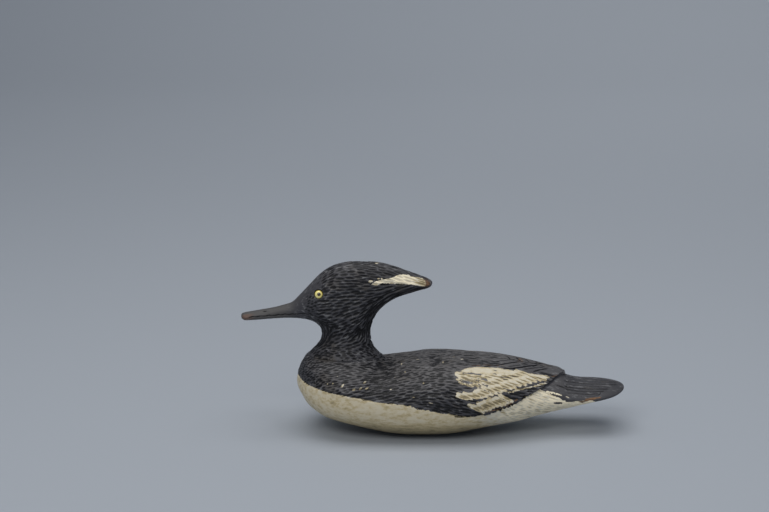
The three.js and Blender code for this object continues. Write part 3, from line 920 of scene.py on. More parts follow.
def head_lay(points, outs):
    """Cuts sweep back to the tip of the crest, follow the crown and nape, and lie level at the seat.
    They are short on the cheek, and there are none around the eye and on the bill."""
    x, z = points[:, 0], points[:, 2]
    to_tip = np.stack([CREST_TIP[0] - x, np.zeros(len(x)), CREST_TIP[1] - z], axis=1)
    deep = from_map(depth_map, x, z)
    rise = np.stack([from_map(slope, x, z) for slope in slope_map])
    rim = np.stack([rise[1], np.zeros(len(x)), -rise[0]], axis=1)
    rim *= np.where((rim * to_tip).sum(axis=1) < 0, -1, 1)[:, None]
    by_rim = (1 - smoothstep(deep, *BY_RIM))[:, None]
    way = unit(to_tip) * (1 - by_rim) + unit(rim) * by_rim
    level = (1 - smoothstep(z, *LEVEL_Z))[:, None]
    way = way * (1 - level) + AHEAD * level
    way = unit(way - outs * (way * outs).sum(axis=1)[:, None])
    wave = SWEEP_SWAY * drift(points, "sweep")
    way = unit(way + np.cross(outs, way) * wave[:, None])
    crest = smoothstep(x, *CREST_X)
    neck = 1 - smoothstep(z, *NECK_Z)
    base = 1 - smoothstep(z, *BASE_Z)
    length, pitch, depth = (
        plain + by_crest * crest + by_neck * neck + by_base * base
        for plain, by_crest, by_neck, by_base in HEAD_CUTS
    )
    behind_eye = smoothstep(x, *BEHIND_EYE_X) * (z > FACE_ABOVE) + (z <= FACE_ABOVE)
    cheek = (1 - behind_eye) * smoothstep(x, *CHEEK_X)
    length = length * (1 - cheek) + CHEEK_LENGTH * cheek
    pitch = pitch * (1 - cheek) + CHEEK_PITCH * cheek
    from_eye = np.hypot(x - EYE_AT[0], z - EYE_AT[1])
    depth = depth * (behind_eye + CHEEK_DEPTH * cheek) * smoothstep(from_eye, *EYE_CLEAR)
    depth *= smoothstep(z, *SEAT_FADE)
    depth *= 1 - SHALLOWER_AT_RIM * (1 - smoothstep(deep, *AT_RIM)) * smoothstep(z, *CROWN_Z)
    return way, length, pitch, depth


# %% Directions and sizes on the body
BODY_LAY = [
    # x, z, degrees up, length, distance between rows, depth
    (-118, 62, 30, 6, 2.1, 0.7),
    (-110, 52, 42, 6, 2.2, 0.95),
    (-90, 50, 24, 7, 2.2, 1.15),
    (-95, 66, 6, 11, 2.1, 0.8),
    (-75, 66, 3, 11, 2.1, 0.85),
    (-60, 55, 12, 11, 2.2, 1.15),
    (-40, 66, 12, 11, 2.3, 0.7),
    (-35, 45, 11, 11, 2.3, 1.3),
    (-10, 68, 5, 8, 2.6, 0.42),
    (-10, 55, 20, 9, 2.3, 0.92),
    (0, 38, -16, 11, 2.4, 1.3),
    (15, 45, -20, 12, 2.5, 1.35),
    (20, 66, 4, 9, 2.6, 0.45),
    (30, 32, -12, 13, 2.4, 1.3),
    (45, 66, -6, 14, 2.3, 0.5),
    (80, 60, -11, 14, 2.2, 0.57),
    (112, 54, -14, 14, 2.2, 0.57),
]
FLANK_LAY = [
    (20, 20, -20, 8, 2, 0),
    (45, 20, -20, 12, 2.0, 0.3),
    (70, 28, -24, 14, 2.0, 0.45),
    (95, 36, -27, 15, 2.0, 0.5),
    (125, 30, -20, 15, 2.0, 0.45),
    (150, 34, -10, 11, 2.4, 0.1),
]

# %% Edges of the paint
PAINT_EDGE_FROM = 22.0
FLANK_REAR_X = 98.0
PIXELS_PER_MM = 1.1
# Across and down in the picture, from the breast back to the wing.
paint_edge = smooth_line(
    (290, 366), (297.1, 372.9), (301.6, 379.6), (307.9, 384.5), (316.8, 388.5), (325.7, 391.6),
    (334.6, 394.1), (343.6, 395.8), (352.5, 397.4), (361.4, 398.9), (370.4, 400.5), (375.7, 401.9),
    (383.8, 403.4), (392.7, 403.9), (401.6, 405), (408.8, 405.9), (415, 407.7), (422.1, 409.5),
    (429.3, 410.8), (439.2, 413.2), (454.9, 415.0), (473.2, 415.2),
)
# Along the body and up, in side view, from the flank's rear to the tail's end.
cream_line = smooth_line(
    (FLANK_REAR_X, 46.5), (108.7, 41.5), (117, 37.6), (121, 34.2), (130, 35.2), (143, 36.2),
    (146.5, 35.6), (150, 33.5), (154, 31.5), (HALF_LENGTH, 31.5),
)


def own_field(made, name):
    """A mesh's stored value at each point."""
    values = np.empty(len(made.data.vertices))
    made.data.attributes[name].data.foreach_get("value", values)
    return values


def under_paint_edge(points):
    """How far points in front of the wing lie below the edge of the black paint, in millimetres."""
    u, v = seen(points)
    return np.where(points[:, 0] < PAINT_EDGE_FROM, (v - paint_edge(u)) / PIXELS_PER_MM, -9)


# %% [markdown]
# ## Feathers of the wing patch
# The wing has a cream patch made of rows of longer strokes, like combed feathers, whose tips stand out
# as teeth along the lower edge of each row. Each row is given by the line its tips follow, as seen in the
# picture, with a stroke every few pixels that starts a feather's length further up and forward. The long
# grooves of the wing, the tail and the bill are drawn the same way, each along its own line.

# %% Strokes of the wing patch, in picture pixels
PATCH_ROWS = [
    # line along the tips, pitch, degrees down, feather length, half width
    ([(466, 375), (475, 376.5), (490, 377.6), (503, 377), (517, 377.2)], 5.6, 9, 11, 1.7),
    (
        [(496, 385.2), (503.6, 383.3), (509.4, 381), (517.4, 377.6), (524.3, 375.8), (531, 374.6)],
        5.0, 17, 14, 1.8,
    ),
    (
        [(466.9, 399.2), (473.8, 399.4), (483, 397.6), (495.6, 394.2), (503.6, 392.3), (511.7, 389),
         (524.3, 385), (540.4, 380.6), (549.6, 378.4)],
        5.1, 20, 15, 1.85,
    ),
    (
        [(483.6, 412.2), (487.6, 411), (494.4, 407.3), (505.9, 405), (510.5, 403.2), (515.3, 399.4)],
        3.9, 23, 15, 1.9,
    ),
    ([(470, 379.4), (480, 385.4), (486, 384.2), (494, 385.2), (499, 383.4)], 4.6, 19, 22, 1.15),
    ([(464, 381.6), (468, 386.4), (476, 386.8), (484, 387)], 4.2, 19, 10, 1.1),
]
PATCH_LEFT = 457.5
PATCH_SEED = 5
SHORTEST_STROKE = 3
STROKE_START = 1.12
STROKE_NARROWS = 0.35
TIP_SPREAD = 0.3
DEGREES_SPREAD = 2.5
FEATHER_RANGE = (0.85, 1.1)
WIDTH_RANGE = (0.9, 1.08)
COVERED_FROM = (-1.4, -0.2)
PATCH_TOP = [
    (459, 371.3), (462, 369.6), (467, 367.4), (477, 366.3), (498, 367.3), (508, 369), (520, 371.6),
    (534, 373.4), (527, 374.4), (515, 374), (500, 373.6), (485, 374.4), (470, 373.4), (462, 373),
]
# painted shade: thin black dashes along the edges of the patch's rows
PATCH_SHADE_DASHES = [
    [(492, 370.4), (499, 370.6)], [(501, 377), (511, 378)], [(512, 375.8), (518, 376.6)],
    [(470, 372), (476, 374.4)], [(503, 380), (508, 379.4)], [(461, 371.6), (464, 373.6)],
]


def even_places(line, pitch):
    """Places along a broken line, that far apart."""
    line = np.array(line)
    along = np.concatenate([[0], np.cumsum(np.linalg.norm(np.diff(line, axis=0), axis=1))])
    at = np.arange(0, along[-1] + 0.1, pitch)
    return np.stack([np.interp(at, along, line[:, k]) for k in (0, 1)], axis=1)


def patch_strokes():
    """Start, end and half width of each stroke of the patch, with a little unevenness."""
    vary = np.random.default_rng(PATCH_SEED)
    found = []
    for line, pitch, degrees, feather, half_width in PATCH_ROWS:
        for tip in even_places(line, pitch):
            tip = tip + vary.normal(0, TIP_SPREAD, 2)
            angle = math.radians(degrees + vary.normal(0, DEGREES_SPREAD))
            way = np.array([math.cos(angle), math.sin(angle)])
            wanted = feather * vary.uniform(*FEATHER_RANGE)
            reach = min(wanted, (tip[0] - PATCH_LEFT + vary.normal(0, 1)) / way[0])
            if reach > SHORTEST_STROKE:
                found.append((tip - reach * way, tip, half_width * vary.uniform(*WIDTH_RANGE)))
    return found


def feather_strokes(u, v):
    """How far inside the patch's strokes a place is, in pixels. Each stroke narrows to its tip."""
    best = np.full(len(u), -9.0)
    for start, end, half_width in strokes:
        away, t = near_piece(u, v, start, end)
        best = np.maximum(best, half_width * (STROKE_START - STROKE_NARROWS * t) - away)
    return best


def patch_cover(points):
    """One where the wing patch is painted, nothing outside it."""
    u, v = seen(points)
    painted = np.maximum(feather_strokes(u, v), inside_shape(u, v, PATCH_TOP))
    return smoothstep(painted, *COVERED_FROM)


strokes = patch_strokes()
print("patch strokes on each side:", len(strokes))

# %% Cuts drawn in the picture
LONG_GROOVES = [
    # line in the picture, width and depth in millimetres
    ([(368, 395), (384, 393), (400, 391)], 2.0, 1.2),
    ([(365, 389), (384, 387.8), (400, 386)], 1.8, 0.9),
    ([(484, 366.6), (500, 364.6), (512.8, 362.2), (522.3, 361.2), (528, 359.4)], 1.9, 1.2),
    ([(503, 368.8), (516.6, 368), (526.8, 366.1), (535.7, 365.2), (548.5, 365.4), (555, 366.8)], 2.0, 1.3),
    ([(471.5, 365.6), (483, 364.7), (494, 364.2)], 1.8, 0.8),
    ([(494, 355.2), (512.8, 357), (521, 358.6), (531, 360.2)], 1.7, 0.8),
    ([(493, 361.6), (506, 360.2), (520, 359.3)], 1.7, 0.8),
    ([(521, 363.8), (534, 362.4), (546, 363.4)], 1.6, 0.7),
    ([(508, 366.3), (520, 364.9), (530, 363.9)], 1.6, 0.6),
    ([(533, 371.6), (541, 369.3), (550, 368.2)], 1.8, 0.9),
    ([(524, 369.4), (536, 367.4), (546, 366.9)], 1.6, 0.5),
]
LONG_FEATHERS = [
    (497, 345), (562, 360), (566, 374), (556, 378), (552, 374.5), (535, 372.6), (520, 370),
    (508, 367.5), (497, 365.6),
]
TAIL_GROOVES = [
    ([(566, 377.2), (590, 378.4), (618, 381.4)], 1.7, 0.4),
    ([(565, 379.0), (590, 380.8), (619, 383.2)], 1.7, 0.45),
    ([(564, 380.9), (583.6, 383.5), (620, 385.0)], 1.9, 0.75),
    ([(562.5, 383.8), (590.3, 386.2), (613, 386.8)], 1.7, 0.45),
    ([(561, 386.6), (590.3, 389.0), (611, 388.9)], 1.9, 0.65),
    ([(557, 388.6), (588, 391.8), (607, 391.2)], 1.7, 0.5),
    ([(567, 393.0), (588, 394.2), (603, 393.6)], 1.7, 0.45),
    ([(574, 396.4), (590, 396.6), (603, 395.4)], 1.5, 0.3),
]
BILL_GROOVES = [
    ([(248.5, 317.2), (258, 316.5), (270, 315.7), (284, 314.7), (294.6, 314.3), (306, 313.7)], 1.2, 0.8),
    ([(263, 311.5), (264.6, 311.3), (266.4, 311.1)], 1.1, 0.9),
]
GROOVE_STEP = 3.0
BILL_STEP = 1.6
BILL_ENDS_X = -105
OVERLAP = 1.2
NEAR_SIDE_Y = -0.5
STROKE_WIDTH = 1.5
STROKE_DEPTH = 0.55


def stretches(grooves, step):
    """Short overlapping pieces of long grooves."""
    pieces = []
    for line, width, depth in grooves:
        ends = even_places(line, step)
        pieces += [(a, b, width, depth) for a, b in zip(ends, ends[2:])]
    return pieces


def drawn_cuts(made, wanted, usable):
    """Cuts along lines drawn in the picture, on both sides of a block. Each has its two ends, and its
    width and depth in millimetres."""
    points, outs = points_of(made), normals_of(made)
    near = np.flatnonzero(usable & (points[:, 1] < NEAR_SIDE_Y))
    points, outs = points[near], outs[near]
    u, v = seen(points)
    tree = search_tree(np.stack([u, v, np.zeros(len(u))], axis=1))
    places, ways, sides, sizes = [], [], [], []
    for start, end, width, depth in wanted:
        on_line = (start, (start + end) / 2, end)
        first, middle, last = (tree.find(Vector((*place, 0)))[1] for place in on_line)
        way = points[last] - points[first]
        length = np.linalg.norm(way)
        out = outs[middle]
        way = way - out * (way @ out)
        places.append(points[middle])
        ways.append(way / max(1e-6, np.linalg.norm(way)))
        sides.append(out)
        sizes.append((length / 2 + OVERLAP, width / 2, depth))
    near_side = [np.array(values) for values in (places, ways, sides)]
    both = [np.concatenate([values, values * [1, -1, 1]]) for values in near_side]
    return (*both, np.concatenate([sizes, sizes]))


# %% Lay of the cuts on the body
TAIL_GROOVES_ABOVE = 34.0
BELLY_CUTS_FROM = 25.0
SEAT_EDGE = 1.01
SWAY_DEGREES = 6
FADE_AT_PAINT = (-1.2, 0.6)


def seat_share(points):
    """How far out from the middle of the neck's seat points lie, squared: 1 at its edge."""
    return ((points[:, 0] - SEAT_X) / SEAT_HALF_LENGTH) ** 2 + (points[:, 1] / SEAT_HALF_WIDTH) ** 2


def body_lay_of(feathered):
    """The lay for the body's skin, given which points are on its feathered part. Cuts are left out under
    the neck, on the tail, among the long feathers, in the wing patch and under the edge of the paint."""

    def lay(points, outs):
        x, z = points[:, 0], points[:, 2]
        back, up = skin_axes(points, outs)
        upper = nearby_mix(x, z, BODY_LAY)
        flank = nearby_mix(x, z, FLANK_LAY)
        angle, length, pitch, depth = np.where(feathered, upper, flank)
        way = turned(back, up, angle + SWAY_DEGREES * drift(points, "sway"))
        plain = (x > WING_TIP_X - 1) & (z > TAIL_GROOVES_ABOVE)
        plain |= ~feathered & (x > FLANK_REAR_X) & (z > cream_line(x) + 0.5)
        plain |= feathered & (inside_shape(*seen(points), LONG_FEATHERS) > 0)
        plain |= (seat_share(points) < SEAT_EDGE) & (z > SEAT_Z - 0.5)
        plain |= ~feathered & (x <= BELLY_CUTS_FROM)
        depth *= 1 - patch_cover(points) * feathered
        depth *= 1 - smoothstep(under_paint_edge(points), *FADE_AT_PAINT)
        return way, length, pitch, np.where(plain, 0, depth)

    return lay


# %% All the cuts
BODY_SEED = 21
HEAD_SEED = 11

wing_lines = [(start, end, STROKE_WIDTH * half, STROKE_DEPTH) for start, end, half in strokes]
wing_lines += stretches(LONG_GROOVES + TAIL_GROOVES, GROOVE_STEP)
on_wing = own_field(body, "feathered") > 0.5
drawn = drawn_cuts(body, wing_lines, on_wing | (points_of(body)[:, 0] > WING_TIP_X))
scattered = scatter_cuts(body, body_lay_of(on_wing), BODY_SEED)
body_cuts = [np.concatenate(pair) for pair in zip(scattered, drawn)]
drawn = drawn_cuts(head, stretches(BILL_GROOVES, BILL_STEP), points_of(head)[:, 0] < BILL_ENDS_X)
head_cuts = [np.concatenate(pair) for pair in zip(scatter_cuts(head, head_lay, HEAD_SEED), drawn)]

# %% [markdown]
# ## Carving with Geometry Nodes
# One node tree does the cutting for both blocks. It sets a copy of the guide on each cut's point, turned
# along the cut and scaled to its size, and then looks from just inside the wood outwards: where a guide
# is met before the skin, the skin is moved down to it. How deep each point went is kept, because the paint
# is darkened in the cuts as painted shade, with dirt as well in the cream's cuts, and painted highlights
# and some ageing go on the ridges between them. Cutting the guides out as solids would take minutes and
# leave slivers; moving the points keeps one clean skin.

# %% The guide: the bowl of a gouge cut
GUIDE_RINGS = (0.0, 0.3, 0.55, 0.78, 1.0, 1.14)
GUIDE_SIDES = 14
GUIDE_HOLLOW = 0.75
GUIDE_LEAN = 0.25


def dome_faces(rings, sides):
    """Faces of a dome whose points are its middle and then rings of that many sides."""
    faces = []
    for k in range(sides):
        after = (k + 1) % sides
        faces.append((0, 1 + k, 1 + after))
        for ring in range(rings - 1):
            a, b = 1 + ring * sides, 1 + (ring + 1) * sides
            faces.append((a + k, b + k, b + after, a + after))
    return faces


def guide_mesh():
    """A bowl one long and one wide each way and one deep, deeper towards the end of the cut."""
    points = []
    for r in GUIDE_RINGS:
        for k in range(GUIDE_SIDES if r else 1):
            angle = 2 * math.pi * k / GUIDE_SIDES
            x, y = r * math.cos(angle), r * math.sin(angle)
            depth = (2 * math.sqrt(max(0, 1 - GUIDE_HOLLOW * r * r)) - 1) * (1 + GUIDE_LEAN * x)
            points.append((x, y, -depth))
    return mesh_object("gouge_guide", points, dome_faces(len(GUIDE_RINGS) - 1, GUIDE_SIDES))


def cut_points(name, places, ways, outs, sizes):
    """A point for each cut, with its direction and size stored on it, in metres."""
    made = mesh_object(name, (places * MM).tolist(), [])
    for field, values in (("way", ways), ("out", outs), ("size", sizes * MM)):
        layer = made.data.attributes.new(field, "FLOAT_VECTOR", "POINT")
        layer.data.foreach_set("vector", np.ascontiguousarray(values.reshape(-1), dtype=np.float32))
    return made


# %% The carving tree
VECTOR = "ShaderNodeVectorMath"
GEOMETRY = "NodeSocketGeometry"
FACING = 0.2
GRAIN_SCALE = 320
GRAIN_DETAIL = 3
TREE_INPUTS = {
    "Skin": GEOMETRY, "Cuts": "NodeSocketObject", "Guide": "NodeSocketObject", "Reach": "NodeSocketFloat",
    "Unevenness": "NodeSocketFloat", "Seed": "NodeSocketFloat", "Finish": "NodeSocketMaterial",
}


def stored(tree, name, kind="FLOAT_VECTOR"):
    """A named field of the mesh."""
    return new_node(tree, "GeometryNodeInputNamedAttribute", {"Name": name}, data_type=kind), 0


def how_deep(tree, start, bowls, place, out):
    """How far below each point of the skin the guides reach, with a little grain added."""
    reach = (start, "Reach")
    inward = new_node(tree, VECTOR, {0: out, "Scale": reach}, operation="SCALE"), 0
    look = new_node(tree, "GeometryNodeRaycast", {
        "Target Geometry": bowls, "Source Position": maths(tree, "SUBTRACT", place, inward, kind=VECTOR),
        "Ray Direction": out, "Ray Length": reach,
    })
    same_side = new_node(tree, VECTOR, {0: (look, "Hit Normal"), 1: out}, operation="DOT_PRODUCT"), "Value"
    facing = maths(tree, "GREATER_THAN", same_side, FACING)
    met = maths(tree, "MULTIPLY", (look, "Is Hit"), facing)
    short = maths(tree, "SUBTRACT", reach, (look, "Hit Distance"))
    cut = maths(tree, "MULTIPLY", short, met)
    inputs = {"Vector": place, "W": (start, "Seed"), "Scale": GRAIN_SCALE, "Detail": GRAIN_DETAIL}
    grain = new_node(tree, "ShaderNodeTexNoise", inputs, noise_dimensions="4D"), 0
    about = maths(tree, "SUBTRACT", grain, 0.5)
    return maths(tree, "ADD", cut, maths(tree, "MULTIPLY", about, (start, "Unevenness")))


def carving_tree():
    """Presses a skin down to guides set along named cuts."""
    tree = bpy.data.node_groups.new("carve", "GeometryNodeTree")
    for name, kind in TREE_INPUTS.items():
        tree.interface.new_socket(name, in_out="INPUT", socket_type=kind)
    tree.interface.new_socket("Carved", in_out="OUTPUT", socket_type=GEOMETRY)
    start, end = new_node(tree, "NodeGroupInput"), new_node(tree, "NodeGroupOutput")
    cuts = new_node(tree, "GeometryNodeObjectInfo", {"Object": (start, "Cuts")})
    guide = new_node(tree, "GeometryNodeObjectInfo", {"Object": (start, "Guide"), "As Instance": True})
    axes = {0: stored(tree, "out"), 1: stored(tree, "way")}
    turn = new_node(tree, "FunctionNodeAxesToRotation", axes, primary_axis="Z", secondary_axis="X")
    placed = new_node(tree, "GeometryNodeInstanceOnPoints", {
        "Points": (cuts, "Geometry"), "Instance": (guide, "Geometry"), "Rotation": (turn, 0),
        "Scale": stored(tree, "size"),
    })
    bowls = new_node(tree, "GeometryNodeRealizeInstances", {0: (placed, "Instances")})
    place, out = new_node(tree, "GeometryNodeInputPosition"), new_node(tree, "GeometryNodeInputNormal")
    depth = how_deep(tree, start, (bowls, 0), (place, 0), (out, 0))
    kept = {"Name": "cut_depth", "Geometry": (start, "Skin"), "Value": depth}
    kept = new_node(tree, "GeometryNodeStoreNamedAttribute", kept)
    back = maths(tree, "MULTIPLY", stored(tree, "cut_depth", "FLOAT"), -1.0)
    down = new_node(tree, VECTOR, {0: (out, 0), "Scale": back}, operation="SCALE")
    moved = new_node(tree, "GeometryNodeSetPosition", {"Geometry": (kept, "Geometry"), "Offset": (down, 0)})
    real = new_node(tree, "GeometryNodeRealizeInstances", {0: (moved, "Geometry")})
    finish = {"Geometry": (real, 0), "Material": (start, "Finish")}
    fill(end, {0: (new_node(tree, "GeometryNodeSetMaterial", finish), "Geometry")})
    return tree


def with_changes(made):
    """A new mesh of an object with its modifiers applied."""
    return bpy.data.meshes.new_from_object(made.evaluated_get(bpy.context.evaluated_depsgraph_get()))


# %% Carve the body and the head
CUT_REACH = 2.2
BODY_UNEVENNESS = 0.16
HEAD_UNEVENNESS = 0.12

carve_tree = carving_tree()


def carve(block, name, cuts, unevenness, seed):
    """Carves a block and bakes the result into a new piece."""
    marks, guide = cut_points("cuts_" + name, *cuts), guide_mesh()
    modifier = block.modifiers.new("carve", "NODES")
    modifier.node_group = carve_tree
    values = {
        "Cuts": marks, "Guide": guide, "Reach": CUT_REACH * MM, "Unevenness": unevenness * MM,
        "Seed": float(seed), "Finish": wood_finish,
    }
    for item in carve_tree.interface.items_tree:
        if item.in_out == "INPUT" and item.name in values:
            modifier[item.identifier] = values[item.name]
    bpy.context.view_layer.update()
    made = put_in_scene(name, with_changes(block))
    made.data.name = name
    for spent in (block, marks, guide):
        old = spent.data
        bpy.data.objects.remove(spent)
        bpy.data.meshes.remove(old)
    deep = own_field(made, "cut_depth") / MM
    print(name, "deepest cut", round(deep.max(), 2), "mm, share cut", round((deep > 0.1).mean(), 2))
    return made


wood_finish, wood_shader = material("painted_wood")
body = carve(body, "body_wood", body_cuts, BODY_UNEVENNESS, 1)
head = carve(head, "head_wood", head_cuts, HEAD_UNEVENNESS, 2)

# %% [markdown]
# ## Where the paint is
# The paint is laid by eye, so each colour's place is worked out from lines and spots and stored on the
# carved points: how far a point is inside the cream areas, how worn and how soiled it is, with painted
# shade low on the belly and painted light on the rear flank kept with the soil, and how much painted sheen
# it has where it faces up. Most of the lines are drawn as the camera sees the bird. Edges made this way
# stay sharp at any size and need no image. They waver a little, as a brush on rough wood does, and more so
# low on the side where the paint has flaked. Chips, and the painted highlights beside the eye, are only on
# the side that faces the camera.

# %% Paint lines and spots, in picture pixels
CHIPS = [
    # across, down, half length, half width, degrees up
    (327.5, 384.0, 0.9, 0.5, 60), (332.7, 383.6, 1.2, 0.7, 55), (342.5, 385.8, 2.3, 1.1, 48),
    (364.6, 382.4, 1.9, 1.0, 42), (353.8, 389.6, 2.1, 1.1, 38), (360.4, 388.7, 2.0, 1.0, 35),
    (366.8, 388.5, 1.9, 0.7, 20), (401.6, 363.9, 1.2, 0.7, 80), (405.2, 372.0, 1.0, 0.6, 20),
    (423.5, 383.1, 1.0, 0.8, 0), (390.9, 389.4, 1.3, 0.6, 15), (417.7, 359.5, 1.3, 0.4, 10),
    (337.3, 376.4, 1.0, 0.4, 20), (443.2, 362.3, 1.1, 0.9, 0), (462.2, 359.2, 1.4, 0.5, 5),
    (453.8, 356.9, 1.6, 0.4, 0), (457.4, 374.5, 1.0, 0.8, 0), (395.0, 377.5, 1.2, 0.4, 20),
    (414.0, 397.5, 1.8, 0.4, -12), (430.5, 403.0, 2.2, 0.5, -15), (452.0, 415.2, 2.6, 0.8, -5),
    (320.0, 391.4, 1.4, 0.5, -30), (534.0, 361.5, 1.2, 0.4, -20),
]
TAIL_DASHES = [
    ([(547, 391.6), (554, 392.9), (560.8, 395.0)], 0.75),
    ([(551, 400.3), (558, 401.0), (564.6, 401.3)], 0.85),
    ([(566, 396.5), (570, 398.2)], 0.5),
]
SMUDGE = [(333, 403.5, 11, 4.5, -22), (347, 407, 4, 3, 0), (336, 412, 2.5, 1.6, 0)]
TAIL_SLOT = [(554.5, 402.9), (561.5, 403.1)]
STREAK = [(509.4, 392.3), (519, 389.8), (530, 387.1), (540, 384.7), (546, 383)]
CREST_PATCH = [
    (371.2, 284.8), (373.5, 282.4), (380, 280), (388, 278.6), (393, 277.4), (397, 275.3), (401, 274.5),
    (408, 274.7), (411, 276.3), (417, 277.3), (422, 277.9), (425, 280), (426, 283), (425.2, 286.8),
    (416.5, 285.4), (410, 284.4), (400, 284), (390, 283.4), (382, 283.1), (379.5, 284.7), (375, 285.4),
]
HEAD_CHIPS = [
    (370.4, 281.5, 2.3, 1.2, 15), (378.4, 278.7, 1.2, 0.7, 0), (381.7, 278.8, 0.9, 0.9, 0),
    (377.0, 263.0, 1.9, 0.6, 15), (365.0, 261.2, 1.6, 0.4, 5),
]
# painted highlights: light grey marks on the ridges beside the eye
HEAD_PAINTED_HIGHLIGHTS = [
    (329.0, 292.4, 2.8, 0.8, 48), (331.5, 289.5, 1.6, 0.6, 50), (325.3, 299.2, 1.9, 0.8, 50),
    (327.2, 302.4, 1.7, 0.8, 55), (330.0, 305.5, 1.7, 0.7, 45), (332.5, 299.0, 1.5, 0.6, 50),
    (335.5, 346.1, 2.0, 0.8, 30), (339.5, 327.5, 1.8, 0.7, 10), (326.0, 285.5, 1.8, 0.7, 45),
]
WORN_EDGES = [
    # line in the picture, half width in pixels, amount
    ([(529, 359.3), (538, 361.3), (548, 364.6), (556, 367.8)], 1.0, 0.5),
    ([(551.5, 376.6), (558, 375.2), (564.5, 372.5)], 1.4, 0.38),
    ([(471.5, 366), (483, 364.9), (503.6, 365.8)], 0.6, 0.5),
    ([(579.5, 402.2), (587, 400.6)], 1.7, 0.6), ([(587, 399.8), (594, 398.8)], 1.6, 0.95),
    ([(594, 398.2), (600.5, 397.4)], 1.1, 0.8),
    ([(484, 412.6), (498, 409.5), (509, 404.8), (517, 399.5)], 1.0, 0.55),
    ([(515, 362), (530, 361.5), (540, 363)], 1.4, 0.35),
]
PATCH_END = [
    (498, 383), (512, 378.5), (528, 373.5), (546, 374.7), (551.5, 377.3), (549, 378.5), (532, 381.5),
    (516, 385.5), (504, 388),
]
BROWN_TIP = [
    (422.5, 278.8), (424, 283), (423.5, 287.2), (428, 288), (431.5, 285.8), (431.5, 281.8),
    (427.5, 278.2),
]


def spots(u, v, chips):
    """How far inside the nearest of some long spots a place is, in pixels."""
    best = np.full(len(u), -9.0)
    for across, down, half_length, half_width, degrees in chips:
        turn = math.radians(degrees)
        a = (u - across) * math.cos(turn) - (v - down) * math.sin(turn)
        b = (u - across) * math.sin(turn) + (v - down) * math.cos(turn)
        best = np.maximum(best, (1 - np.hypot(a / half_length, b / half_width)) * half_width)
    return best


# %% Cream on the body
NEVER = -3.0
FLAKED_X = -10.0
FLAKED_REACH = 26.0
RAGGED = 0.5
FLAKED_FINE = 1.3
FLAKED_BROAD = 0.9
FLANK_CREAM = 0.6
# The rest is in picture pixels. The paint thins out where two rows meet; across is counted backwards.
THIN_ACROSS = (-496, -480)
THIN_FROM = (377, 379)
THIN_TO = (387, 389)
THINNED = 0.55
THINNED_FROM = (-0.3, 0.3)
SHAPE_MARGIN = 0.3
# half width of the painted shade dashes
SHADE_DASH_HALF_WIDTH = 0.2
ROW_MARGIN = 0.2
ROW_WAVER = 0.45
COMBED_EDGE = (0.4, 1.2)


def below_black(points, feathered, fine):
    """How far points lie below the uneven edge of the black, in millimetres."""
    x, z = points[:, 0], points[:, 2]
    flaked = np.exp(-(((x - FLAKED_X) / FLAKED_REACH) ** 2))
    ragged = fine * (RAGGED + FLAKED_FINE * flaked)
    ragged = ragged + drift(points, "ragged") * (RAGGED + FLAKED_BROAD * flaked)
    below = np.where(x < FLANK_REAR_X, wing_edge_line(x), cream_line(x)) - z + ragged
    below = np.where(x < PAINT_EDGE_FROM, under_paint_edge(points) + ragged, below)
    behind = x > PAINT_EDGE_FROM
    below = np.where(feathered & behind & (x < WING_TIP_X + 0.3), NEVER, below)
    return np.where(~feathered & behind & (x < FLANK_REAR_X), np.maximum(below, FLANK_CREAM), below)


def wing_rows(points, fine):
    """How far points lie inside the rows of the wing patch, and one near the edges of its strokes. Thin
    black dashes of painted shade break the rows along their edges. Two rows are painted thinner where they
    meet."""
    u, v = seen(points)
    row = feather_strokes(u, v)
    for shape in (PATCH_TOP, PATCH_END):
        row = np.maximum(row, inside_shape(u, v, shape) - SHAPE_MARGIN)
    # painted shade along the rows' edges
    for dash in PATCH_SHADE_DASHES:
        row = np.minimum(row, near_line(u, v, dash) - SHADE_DASH_HALF_WIDTH)
    combed = np.where(row > -0.5, 1 - smoothstep(row, *COMBED_EDGE), 0)
    thin = smoothstep(-u, *THIN_ACROSS) * smoothstep(v, *THIN_FROM) * (1 - smoothstep(v, *THIN_TO))
    thin = THINNED * thin * smoothstep(drift(points, "meeting"), *THINNED_FROM)
    return row - ROW_MARGIN + ROW_WAVER * fine - thin, combed


# %% Wear, soil, painted shade and painted light on the body
TAIL_RIM_X = (150, 176)
TAIL_RIM_Y = (8, 24)
TAIL_RIM_BELOW = 41
NOT_WORN = -0.2
EDGE_WEAR = 1.4
RIM_WEAR = 0.2
WEAR_WAVER = 0.35
# from here back the belly gets less soil, and painted light on the rear flank
REAR_FROM = (30, 80)
SHADED_BELOW = 26
WHITEST_FROM = (105, 135)
# painted shade: the cream is darkened low on the belly, less so towards the rear
LOW_PAINTED_SHADE = 0.95
LOW_SHADE_REAR_DROP = 0.8
SMUDGE_EDGE = (0, 2.5)
SMUDGE_BROKEN = (0.1, 0.45)
SMUDGE_SOIL = 0.9
BELLY_SOIL = 0.33
STREAK_SOIL = 0.2
STREAK_STRETCH = (0.35, 1, 1)
STREAKED_FROM = (-0.1, 0.6)
# painted light: the cream on the rear flank is lightened where the wing shades it
REAR_PAINTED_LIGHT = 0.65
WHITENED = 0.7


def body_wear(points):
    """How worn points are: along the drawn edges, and a little around the tail's rim."""
    x, y, z = points.T
    u, v = seen(points)
    wear = np.full(len(x), NOT_WORN)
    for edge, half, amount in WORN_EDGES:
        wear = np.maximum(wear, amount * (EDGE_WEAR - near_line(u, v, edge) / half))
    rim = smoothstep(x, *TAIL_RIM_X) * smoothstep(np.abs(y), *TAIL_RIM_Y) * (z < TAIL_RIM_BELOW)
    wear = np.maximum(wear, RIM_WEAR * rim)
    return np.where(wear > 0.1, wear + WEAR_WAVER * drift(points, "wear"), wear)


